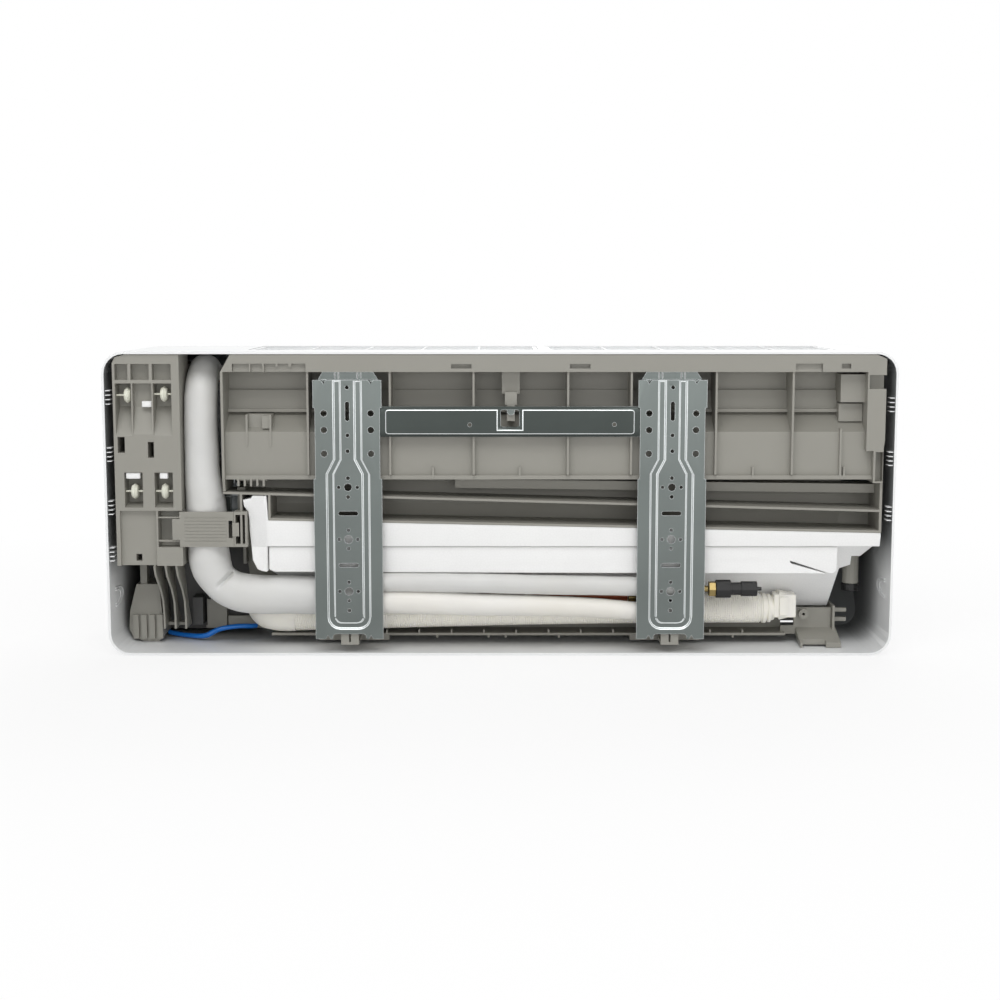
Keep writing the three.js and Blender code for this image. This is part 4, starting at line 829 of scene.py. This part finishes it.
bundle = bent_tube("bundle_sleeve", bundle_route, 48, 9)
ripple(bundle, 1.3, 24)
fold(bundle, (276.0, -146.6), (287.6, -157.6), 2.2, 9.5)
fold(bundle, (285.0, -71.0), (283.0, -84.0), 3.0, 2.5)
smooth(bundle, 60)
finish_piece(bundle, SLEEVE, "unit", "sleeve", "pipe_bundle")

# ---- Sleeves --------------------------------------------------------------------------------
# Past the bundle each pipe has a sleeve of its own, 20 mm across: the upper one ends at the flare
# nut, and the lower one shows the bare copper above it.

upper_route = [
    (148.7, -14.6, -154.6, 9.9), (125, -14.6, -154.4, 10),
    (88, -14.6, -154.6, 10.1), (13, -14.6, -155.8, 10.2),
    (-57, -14.6, -157.5, 10.2), (-105, -14.6, -158.2, 10), (-141, -14.6, -159, 9.8), (-170, -14.6, -160, 9.6),
    (-195, -14.6, -161.3, 9.3),
]
lower_route = [
    (148.7, -17, -175, 12), (125, -17.4, -175.2, 12.5), (88, -17.4, -175.8, 12.6), (50, -17, -177, 12.1),
    (13, -16.4, -178.3, 11.4), (-30, -15.6, -179, 10.8), (-57, -15, -179.7, 10.6), (-103, -14.8, -181.7, 10),
    (-141, -14.6, -184.6, 9.3), (-190, -14.6, -186.4, 9),
]
WARM_SLEEVE = sleeve_finish("warm foam sleeve", shade(231, 229, 224), shade(226, 221, 208))
for side, route, finish in (("upper", upper_route, SLEEVE), ("lower", lower_route, WARM_SLEEVE)):
    sleeve = bent_tube(f"{side}_pipe_foam", route, 30, 12)
    hollow_end(sleeve, route[-1][:3], 2, 3, 9)
    ripple(sleeve, 0.8, 16)
    smooth(sleeve)
    finish_piece(sleeve, finish, "unit", "sleeve", f"{side}_sleeve")

# ---- Drain hose -----------------------------------------------------------------------------
# The condensate runs off through a corrugated hose of soft white plastic, 29 mm across, with a
# plain elbow at the pan and a square cuff at its free end. It lies along the foot of the unit.

HOSE_START = 214.0
HOSE_END = -272.0
RIBS = 216
RIB_PROFILE = ((0.0, 14.9), (0.3, 15.6), (0.62, 15.6))


def hose_centre(x):
    share = (HOSE_START - x) / (HOSE_START - HOSE_END)
    bend = max(0.0, (x - 110) / (HOSE_START - 110))
    return (x, -49 - 4 * bend * bend, -197 + 9 * (1 - (1 - share) ** 2))


def straight_tube(name, route, sides=28):
    """As a bent tube, but with straight steps from place to place, for sharp rings."""
    bpy.ops.object.select_all(action="DESELECT")
    bpy.ops.curve.primitive_nurbs_path_add(location=(0, 0, 0))
    piece = bpy.context.object
    piece.name = name
    line = piece.data
    line.splines.clear()
    spline = line.splines.new("POLY")
    spline.points.add(len(route) - 1)
    for point, (x, y, z, radius) in zip(spline.points, route):
        point.co = (x * MM, y * MM, z * MM, 1)
        point.radius = radius
    line.bevel_depth = MM
    line.bevel_resolution = sides // 2 - 2
    line.use_fill_caps = True
    pick(piece)
    bpy.ops.object.convert(target="MESH")
    piece = bpy.context.object
    piece.data.name = name
    bpy.ops.object.select_all(action="DESELECT")
    face_outwards(piece)
    return piece


def hose_finish():
    """Soft vinyl: cream white, satin, with light dust in its grooves."""
    finish, tree, place = new_finish("ribbed hose")
    colour, patch = edge_toned_colour(
        tree, shade(246, 243, 234), 0.02, 18.0, shade(246, 245, 238), 0.0005, 0.2, 0.3
    )
    fine = wire(tree, "TexNoise", {"Vector": place, "Scale": 500.0, "Detail": 3.0})
    soft_surface(tree, colour, fine.outputs[0], 0.42, 0.2, 0.0001, 0.15, (0.003, 0.003, 0.002))
    return finish


HOSE = hose_finish()
pitch = (HOSE_START - HOSE_END) / RIBS
hose_route = [
    hose_centre(HOSE_START - (rib + share) * pitch) + (radius,)
    for rib in range(RIBS)
    for share, radius in RIB_PROFILE
]
hose_route.append(hose_centre(HOSE_END) + (14.7,))
hose = straight_tube("ribbed_hose", hose_route, 32)
smooth(hose, 50)
finish_piece(hose, HOSE, "unit", "hose", "drain_hose")

elbow_y, elbow_z = hose_centre(HOSE_START)[1:]
elbow_route = [
    (HOSE_START + 0.6, elbow_y, elbow_z, 16.1), (HOSE_START + 9, elbow_y, elbow_z, 16.2),
    (HOSE_START + 22, elbow_y - 3, elbow_z, 16), (HOSE_START + 34, elbow_y - 12, elbow_z + 2, 15.8),
    (HOSE_START + 40, elbow_y - 25, elbow_z + 9, 15.8), (HOSE_START + 41, elbow_y - 35, elbow_z + 15.5, 15.8),
]
elbow = bent_tube("soft_elbow", elbow_route, 32, 8)
smooth(elbow)
finish_piece(elbow, HOSE, "unit", "hose", "hose_elbow")

cuff_y, cuff_z = hose_centre(HOSE_END)[1:]
CUFF_RINGS = (
    (0, 14.2), (-1.6, 14.2), (-2.0, 15.6), (-5.6, 15.6),
    (-6.0, 13.6), (-7.2, 13.6), (-7.6, 15.0), (-10.4, 15.0),
    (-10.8, 13.2), (-12.6, 13.0), (-14.4, 12.2),
)
collar_route = [(HOSE_END - 0.3 + along, cuff_y, cuff_z, radius) for along, radius in CUFF_RINGS]
collar = straight_tube("hose_collar", collar_route, 32)
smooth(collar, 30)
finish_piece(collar, HOSE, "unit", "hose")
cuff = block(
    "square_cuff",
    (HOSE_END - 36.3, cuff_y - 8, cuff_z - 8), (HOSE_END - 13.3, cuff_y + 13, cuff_z + 16.5), 1.3, 3,
)
begin_edit(cuff)
choose_faces(cuff, lambda middle, normal: normal.x < -0.95 and middle.x < HOSE_END - 36)
bpy.ops.mesh.inset(thickness=1.4 * MM, depth=0)
bpy.ops.mesh.inset(thickness=0.05 * MM, depth=-18 * MM)
end_edit()
smooth(cuff)
finish_piece(cuff, HOSE, "unit", "hose", "hose_cuff")

# ---- Foam block -----------------------------------------------------------------------------
# The scroll behind the fan is backed by one moulded block of expanded polystyrene, with a stepped
# lug at the pipe end and a slit where the mould was parted. A plate makes its lower face flush.
# Three small pads cushion the rollers.

LUG = (
    (258.6, -69.6), (253.7, -69.6), (252.1, -64.4), (239.4, -64.4), (237.0, -89.7), (237.4, -143.3),
    (243.3, -142.3), (247.6, -140.5), (252.4, -130.9), (253.6, -115.4), (255.0, -101.0), (255.6, -80.6),
    (258.4, -79.6),
)
SLIT = ((-296.6, -132.0), (-297.6, -135.0), (-340.6, -147.2), (-340.4, -146.5))
FACE = (
    (236, -117.5), (236, -141), (230, -143.5), (-341, -145.5), (-345, -142), (-345, -117.5),
)


def foam_finish():
    """Moulded polystyrene: matt, with fused beads 3 mm across and small pits between them."""
    finish, tree, place = new_finish("polystyrene foam")
    mottle = use_group(tree, MOTTLE, {"Colour": shade(242, 242, 241), "Amount": 0.012, "Size": 14.0})
    beads = wire(
        tree, "TexVoronoi", {"Vector": place, "Scale": 330.0, "Randomness": 0.9}, feature="DISTANCE_TO_EDGE"
    )
    seam = wire(tree, "MapRange", {"Value": beads.outputs[0], "From Max": 0.12})
    tone = wire(tree, "MapRange", {"Value": seam.outputs[0], "To Min": 0.97, "To Max": 1.0})
    toned = wire(
        tree, "VectorMath", {0: mottle.outputs["Colour"], "Scale": tone.outputs[0]}, operation="SCALE"
    )
    fine = wire(tree, "TexNoise", {"Vector": place, "Scale": 90.0, "Detail": 3.0})
    height = wire(tree, "Math", {0: seam.outputs[0], 1: fine.outputs[0]}, operation="MULTIPLY")
    soft_surface(tree, toned.outputs[0], height.outputs[0], 0.68, 0.25, 0.0002, 0.2, (0.005, 0.005, 0.005))
    return finish


FOAM = foam_finish()
foam = cad_copy("foam_block", "polystyrene_block")
face = outline_plate("foam_face", FACE, -11, -46)
cut_with(face, outline_plate("slit tool", SLIT, 0, -46))
round_edges(face, 1.6, 3, 30)
ripple(face, 0.35, 18)
round_edges(foam, 1.6, 3, 30)
lug = outline_plate("foam_lug", LUG, -8.4, -34)
round_edges(lug, 2.4, 4, 30)
ripple(foam, 0.35, 18)
foam = join("polystyrene_block", [foam, lug, face])
smooth(foam, 35)
finish_piece(foam, FOAM, "unit", "foam", "foam_block")
for number in (1, 2, 3):
    pad = cad_copy(f"foam_pad_{number}", f"soft_pad_{number}")
    round_edges(pad, 0.8, 3, 25)
    smooth(pad, 35)
    finish_piece(pad, FOAM, "unit", "foam", f"foam_pad_{number}")

# ---- Rollers --------------------------------------------------------------------------------
# Four narrow ribbed rollers of pale rubber turn on thin pins in the service block, and hold the
# unit off the wall while it is hung.

ROLLER_CENTRES = ((375.7, 37.5), (339, 38.5), (370.8, -60.2), (340.1, -60.2))
ROLLER_PINS = ((371, 387), (330.5, 349), (361.5, 380), (331, 349.5))
ROLLER_DEPTH = -12
ROLLER_PROFILE = (
    (-3.4, 4.6), (-3.2, 5.6), (-2.7, 6.4), (-2.3, 6.2), (-2.0, 6.5), (-1.6, 7.3), (-1.2, 7.1), (-0.9, 7.2),
    (-0.5, 7.95), (0.5, 7.95), (0.9, 7.2), (1.2, 7.1), (1.6, 7.3), (2.0, 6.5), (2.3, 6.2), (2.7, 6.4),
    (3.2, 5.6), (3.4, 4.6),
)
RUBBER = plastic_finish("pale rubber", shade(222, 222, 208), shade(244, 244, 236), 0.55, 900.0, 0.0001, 0.05)
for number, ((x, z), (low, high)) in enumerate(zip(ROLLER_CENTRES, ROLLER_PINS), 1):
    tread = straight_tube(
        f"ribbed_roller_{number}",
        [(x + along, ROLLER_DEPTH, z, radius) for along, radius in ROLLER_PROFILE],
        32,
    )
    pin = peg("pin", ((low + high) / 2, ROLLER_DEPTH, z), 1.1, high - low + 2.2, (0, 90, 0), 16)
    roller = join(f"ribbed_roller_{number}", [tread, pin])
    smooth(roller, 30)
    finish_piece(roller, RUBBER, f"roller_{number}", "roller", f"roller_{number}")

# ---- Pipe ends ------------------------------------------------------------------------------
# Each pipe ends in a forged brass flare nut with a black plastic cap screwed into it. The copper
# between the sleeves is bare, and browned by handling.

COPPER = metal_finish("drawn copper", shade(176, 104, 78), shade(222, 160, 130), 0.34, (30, 700, 700))
BRASS = metal_finish("forged brass", shade(146, 128, 84), shade(206, 190, 140), 0.36, (200, 200, 200))
BLACK_PLASTIC = plastic_finish("black plastic", shade(7, 7, 7), shade(44, 44, 44), 0.42)
for name in ("bare_pipe", "header_pipe"):
    dress(name, COPPER, 0.1, 60)
for name in ("stub_pipe", "flare_nut", "inner_flare_nut"):
    dress(name, BRASS, 0.5)
for name in ("flare_cap", "inner_flare_cap"):
    dress(name, BLACK_PLASTIC, 0.7)
dress("drain_plug", BLACK_PLASTIC, 0.6)

# ---- Coil -----------------------------------------------------------------------------------
# The evaporator wraps round the fan: aluminium fins 2 mm apart on copper tube, with a steel sheet
# and the bare return bends at the service end.

PLATE_PITCH = 2.0
PLATE_THICKNESS = 0.3
COIL_LEFT = -352.7
COIL_RIGHT = 251.0

ALUMINIUM = metal_finish("fin aluminium", shade(176, 180, 183), shade(224, 228, 230), 0.4, (40, 300, 300))
fins = cad_copy("evaporator", "coil_fins")
for vert in fins.data.vertices:
    if vert.co.x > 0:
        vert.co.x = (COIL_LEFT + PLATE_THICKNESS) * MM
apply_modifier(
    fins, "ARRAY", count=int((COIL_RIGHT - COIL_LEFT) / PLATE_PITCH), use_relative_offset=False,
    use_constant_offset=True, constant_offset_displace=(PLATE_PITCH * MM, 0, 0),
)
core = cad_copy("evaporator", "coil core")
apply_modifier(core, "DISPLACE", strength=-3.5 * MM, mid_level=0.0)
finish_piece(join("coil_fins", [fins, core]), ALUMINIUM, "unit", "coil", "evaporator")


def end_sheet_finish():
    """Galvanised sheet with the copper return bends standing on it."""
    finish, tree, place = new_finish("coil end")
    apart = wire(tree, "SeparateXYZ", {"Vector": place})
    beyond = wire(tree, "Math", {0: apart.outputs["X"], 1: 0.2541}, operation="GREATER_THAN")
    copper, patch = edge_toned_colour(
        tree, shade(176, 104, 78), 0.1, 20.0, shade(222, 160, 130), 0.0006, 0.3, 0.5
    )
    mixed = wire(
        tree, "Mix", {0: beyond.outputs[0], 6: shade(170, 176, 177), 7: copper}, data_type="RGBA"
    )
    gloss = wire(tree, "MapRange", {"Value": patch, "To Min": 0.3, "To Max": 0.42})
    close_finish(tree, Base_Color=mixed.outputs[2], Metallic=0.9, Roughness=gloss.outputs[0])
    return finish


dress("coil_end_sheet", end_sheet_finish(), 0.2, 60)

# ---- Fan ------------------------------------------------------------------------------------
# The cross-flow fan is moulded in dark glass-filled plastic and turns between its rubber bearing
# and the motor, which a steel clamp holds down in the chassis.

FAN_PLASTIC = plastic_finish("fan plastic", shade(58, 58, 60), shade(92, 92, 94), 0.5)
MOTOR_STEEL = metal_finish("motor shell", shade(158, 162, 164), shade(226, 230, 231), 0.36, (500, 12, 12))
dress("fan", FAN_PLASTIC, 0.2)
dress("fan_bearing", BLACK_PLASTIC, 0.5)
for name in ("fan_motor", "louver_motor"):
    dress(name, MOTOR_STEEL, 0.8)
dress("motor_clamp", ZINC, 0.4)
# The motor shroud is a dark grey sheet standing where the casing's inside lies in deep shade: painted shade.
dress("motor_shroud", plastic_finish("shroud grey, painted shade", shade(74, 74, 73), shade(110, 110, 108), 0.5), 0.4)

# ---- Front panel and louver -----------------------------------------------------------------
# The panel is a glossy white moulding that lifts on two top pins, with a dark lens over the
# display. The louver closes the outlet below it.


def gloss_finish(name, colour, edge_tone, rough, coat):
    """Polished moulding under a clear coat, with a faint orange-peel surface."""
    finish, tree, place = new_finish(name)
    base, patch = edge_toned_colour(tree, colour, 0.01, 5.0, edge_tone, 0.0006, 0.5, 0.3)
    peel = wire(tree, "TexNoise", {"Vector": place, "Scale": 220.0, "Detail": 2.0})
    gloss = wire(tree, "MapRange", {"Value": patch, "To Min": rough - 0.02, "To Max": rough + 0.04})
    bump = wire(tree, "Bump", {"Height": peel.outputs[0], "Strength": 0.08, "Distance": 0.0001})
    close_finish(
        tree, Base_Color=base, Roughness=gloss.outputs[0], Normal=bump.outputs[0], Coat_Weight=coat,
        Coat_Roughness=0.05,
    )
    return finish


GLOSS_WHITE = gloss_finish("gloss white plastic", shade(240, 241, 241), shade(249, 250, 250), 0.2, 0.4)
dress("front_panel", GLOSS_WHITE, 0.8)
dress("louver", WHITE_PLASTIC, 0.5)
dress("display_window", gloss_finish("dark lens", shade(44, 45, 47), shade(80, 82, 84), 0.12, 0.6), 0.4)

# ---- Filters --------------------------------------------------------------------------------
# Two air filters lie in the top grille: a white moulded frame with a fine net of polypropylene
# thread across its windows. Each pulls out upwards.

NET_PITCH = 1.7
THREAD = 0.4
FILTER_SPANS = {"left": (-348.7, -48.3), "right": (-39.7, 260.7)}
FILTER_BACK = -59.0
FILTER_FRONT = -179.0
NET_LEVEL = 79.9

NET = plastic_finish("filter net", shade(236, 238, 239), shade(246, 248, 248), 0.5)
for side, (low, high) in FILTER_SPANS.items():
    cross = block(
        "thread", (low + 2, FILTER_FRONT, NET_LEVEL), (low + 2 + THREAD, FILTER_BACK, NET_LEVEL + THREAD), 0
    )
    apply_modifier(
        cross, "ARRAY", count=int((high - low - 4) / NET_PITCH), use_relative_offset=False,
        use_constant_offset=True, constant_offset_displace=(NET_PITCH * MM, 0, 0),
    )
    long = block(
        "thread", (low + 2, FILTER_FRONT, NET_LEVEL), (high - 2, FILTER_FRONT + THREAD, NET_LEVEL + THREAD), 0
    )
    apply_modifier(
        long, "ARRAY", count=int((FILTER_BACK - FILTER_FRONT) / NET_PITCH), use_relative_offset=False,
        use_constant_offset=True, constant_offset_displace=(0, NET_PITCH * MM, 0),
    )
    finish_piece(join(f"filter_net_{side}", [cross, long]), NET, f"filter_{side}", "casing")
    dress(f"filter_{side}", WHITE_PLASTIC, 0.3)

# ---- Controls -------------------------------------------------------------------------------
# The control box holds a green circuit board behind a white cover, with the dark emergency button
# at the front. The blue earth lead runs from the terminals along the floor of the housing.


def board_finish():
    """Solder mask with copper tracks and tinned pads."""
    finish, tree, place = new_finish("circuit board")
    tracks = wire(
        tree, "TexBrick",
        {
            "Vector": wire(
                tree, "Mapping", {"Vector": place, "Rotation": (math.radians(90), 0, 0)}
            ).outputs[0],
            "Color1": shade(34, 106, 62), "Color2": shade(28, 92, 54), "Mortar": shade(74, 146, 92),
            "Scale": 60.0, "Mortar Size": 0.03,
        },
    )
    dots = wire(tree, "TexVoronoi", {"Vector": place, "Scale": 240.0})
    pads = wire(tree, "MapRange", {"Value": dots.outputs[0], "From Min": 0.2, "From Max": 0.16})
    mixed = wire(
        tree, "Mix", {0: pads.outputs[0], 6: tracks.outputs[0], 7: shade(196, 198, 196)}, data_type="RGBA"
    )
    bump = wire(tree, "Bump", {"Height": pads.outputs[0], "Strength": 0.4, "Distance": 0.0002})
    gloss = wire(tree, "MapRange", {"Value": pads.outputs[0], "To Min": 0.34, "To Max": 0.25})
    close_finish(tree, Base_Color=mixed.outputs[2], Roughness=gloss.outputs[0], Normal=bump.outputs[0])
    return finish


dress("control_board", board_finish(), 0.1)
dress("control_cover", WHITE_PLASTIC, 0.5)
dress(
    "manual_button", plastic_finish("button plastic", shade(120, 122, 124), shade(160, 162, 164), 0.35), 0.4
)
BLUE = plastic_finish("blue sheath", shade(22, 112, 202), shade(80, 158, 228), 0.3, 500.0, 0.00005, 0.06)
lead_route = [
    (354.7, -84.8, -221.0, 2.5), (343, -80, -222.4, 2.5), (330, -72, -222.2, 2.5), (319, -65, -221.4, 2.6),
    (310, -61, -219.6, 2.8), (304, -61, -216.5, 2.9), (298, -60, -213.5, 2.6), (290, -60.5, -211.5, 2.5),
    (282, -62, -210.6, 2.5), (274, -65, -210.6, 2.5), (266, -70, -211.6, 2.5), (260, -76, -212.4, 2.5),
]
lead = bent_tube("blue_lead", lead_route, 18, 8)
smooth(lead)
finish_piece(lead, BLUE, "unit", "lead", "earth_lead")
